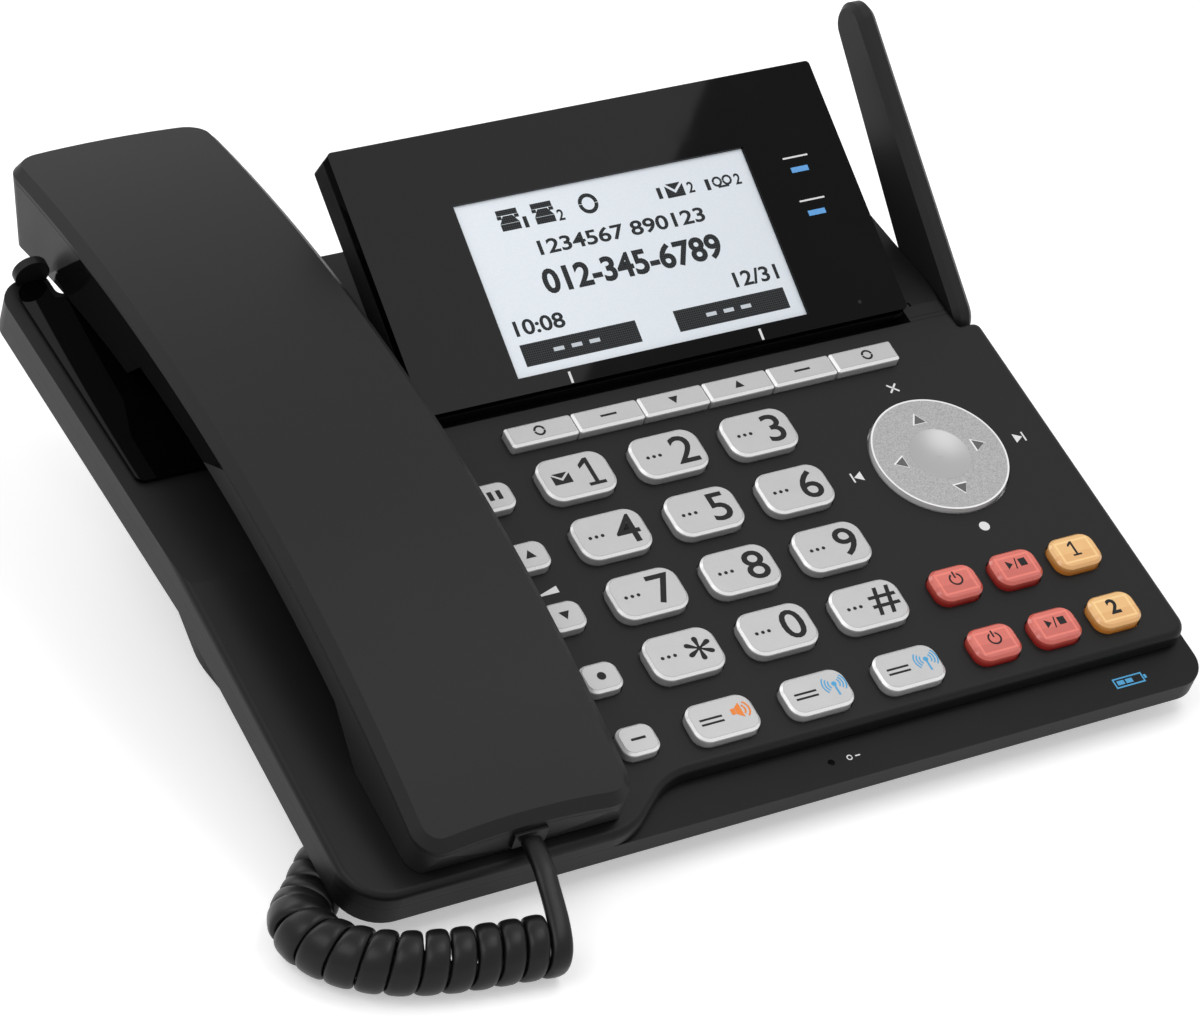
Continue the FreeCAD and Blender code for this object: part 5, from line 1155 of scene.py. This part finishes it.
content = [sign_solid(outline, x, 40.4) for x in (36.6, 45.3) for outline in PHONE_SIGN]
content += [sign_solid(arc_outline(2.0, 0.9, turn, turn + 176), 56.7, 40.3) for turn in (0, 180)]
content += [sign_solid(outline, 91.0, 38.9) for outline in TAPE_SIGN]
content += envelope(78.7, 39.3, 4.6, 3.4)
content += [lcd_text("1", 2.7, 39.9, 40.9, 39.0), lcd_text("2", 2.7, 48.4, 50.0, 39.0),
            lcd_text("1", 2.7, 74.2, 75.2, 39.2), lcd_text("2", 2.7, 82.0, 83.6, 39.2),
            lcd_text("1", 2.7, 86.7, 87.7, 38.9), lcd_text("2", 2.7, 94.2, 95.8, 38.9),
            lcd_text("1234567 890123", 3.6, 41.0, 83.5, 32.4),
            lcd_text("012-345-6789", 6.2, 39.0, 84.6, 24.4, bold=0.03),
            lcd_text("12/31", 3.7, 84.4, 95.8, 15.5), lcd_text("10:08", 3.7, 28.2, 40.6, 15.2)]
BOXES = ((27.9, 6.2, 57.0, 11.4), (66.8, 6.4, 95.5, 11.5))
content += [sign_solid(box_outline(*box)) for box in BOXES]
legend("display_content", content, on_display(GLASS), "display", LCD_INK)
print("solids on the display:", len(content))

# %% [markdown]
# Two dark boxes stand over the keys below, with three pale dashes in each. White ticks and small
# bars are printed on the bezel, which also has two tiny holes near its lower corners.

# %% Dashes and bezel print
PALE_SEGMENTS = plain("pale_segments", srgb(196, 203, 210), 0.4, spread=0.05)
DASHES = ((35.5, 8.8), (40.0, 8.8), (44.5, 8.8), (74.5, 8.95), (79.0, 8.95), (83.5, 8.95))
bars = [sign_solid(box_outline(x, y - 0.45, x + 2.6, y + 0.45)) for x, y in DASHES]
legend("display_box_dashes", bars, on_display(GLASS + 2 * INK_LIFT), "display",
       PALE_SEGMENTS)
ticks = [sign_solid(box_outline(x - 0.3, 0.2, x + 0.3, 2.9)) for x in (36.6, 85.4)]
ticks += [sign_solid(box_outline(107.6, y - 0.2, 114.2, y + 0.2)) for y in (41.0, 30.2)]
legend("bezel_print", ticks, on_display(0.0), "display", WHITE_PRINT)
holes = [sign_solid(disc(0.45, x, y)) for x, y in ((10.4, 3.6), (112.5, 3.9))]
legend("bezel_holes", holes, on_display(0.0), "display", INK)
print("bezel prints:", len(ticks), "and holes:", len(holes))

# %% [markdown]
# ## Floor and light
#
# A plain pale floor takes the shadow. It is lifted to white for rays that see it as background,
# from the camera, in a mirror surface or through clear glass, so no lamp has to be too strong
# for the telephone itself.

# %% Floor


def seen_rays(tree):
    """1 for rays that show the background: from the camera, a mirror surface or clear glass."""
    rays = tree.nodes.new("ShaderNodeLightPath")
    return largest_of([Socket(tree, rays.outputs[label])
                       for label in ("Is Camera Ray", "Is Glossy Ray", "Is Transmission Ray")])


def white_where_seen(name, level, lift):
    """Diffuse floor, lifted to white where it is seen, so that its shadow stays pale."""
    finish = Finish(name, Emission_Strength=lift)
    finish.set("Base Color", finish.noise(60.0).mix(grey(level), grey(level * 1.03)))
    finish.set("Roughness", 0.9 + finish.noise(5.0) * 0.05)
    finish.bump(finish.noise(2.0), 0.01, 0.1)
    finish.set("Emission Color", seen_rays(finish.material.node_tree).mix(grey(0.0), grey(1.0)))
    return finish.material


floor_mesh = bpy.data.meshes.new("floor")
floor_mesh.from_pydata([(-4, -4, 0), (4, -4, 0), (4, 4, 0), (-4, 4, 0)], [], [(0, 1, 2, 3)])
floor_mesh.materials.append(white_where_seen("floor_white", 0.8, 0.42))
floor = bpy.data.objects.new("floor", floor_mesh)
bpy.context.scene.collection.objects.link(floor)
print("floor 8 m wide at z = 0")

# %% [markdown]
# Wide soft lamps model the satin surfaces: one from the left, one from behind, and a panel
# overhead. The panel is turned so that the display mirrors its edge in a slanted line.

# %% Lamps


def lamp(name, place, aim, size, power, turn=0.0):
    """Area lamp at a place, facing a point and turned about its own axis by degrees."""
    light = bpy.data.lights.new(name, "AREA")
    light.shape = "RECTANGLE"
    light.size, light.size_y = size
    light.energy = power
    holder = bpy.data.objects.new(name, light)
    bpy.context.scene.collection.objects.link(holder)
    direction = Vector(aim) - Vector(place)
    holder.matrix_world = (Matrix.Translation(place)
                           @ direction.to_track_quat("-Z", "Y").to_matrix().to_4x4()
                           @ Matrix.Rotation(math.radians(turn), 4, "Z"))


lamp("key_lamp", (-0.9, -0.2, 1.3), (0, 0, 0.05), (1.2, 0.8), 6.5)
lamp("overhead_panel", (0.474, -0.222, 1.3), (0.474, -0.222, 0.0), (0.6, 0.9), 4.6, turn=-29.6)
lamp("back_lamp", (-0.3, 1.2, 0.9), (0, 0, 0.05), (1.4, 0.5), 4.0)
print("three lamps placed")

# %% [markdown]
# The world around is white where it is seen and about half as bright as a light, which fills
# the shadows softly.

# %% Background
world = bpy.data.worlds.new("studio")
bpy.context.scene.world = world
world.use_nodes = True
tree = world.node_tree
background = tree.nodes["Background"]
tree.links.new((seen_rays(tree) * 0.45 + 0.55).output, background.inputs["Strength"])
background.inputs["Color"].default_value = grey(1.0)
print("background strength: 1 where seen, 0.55 as light")
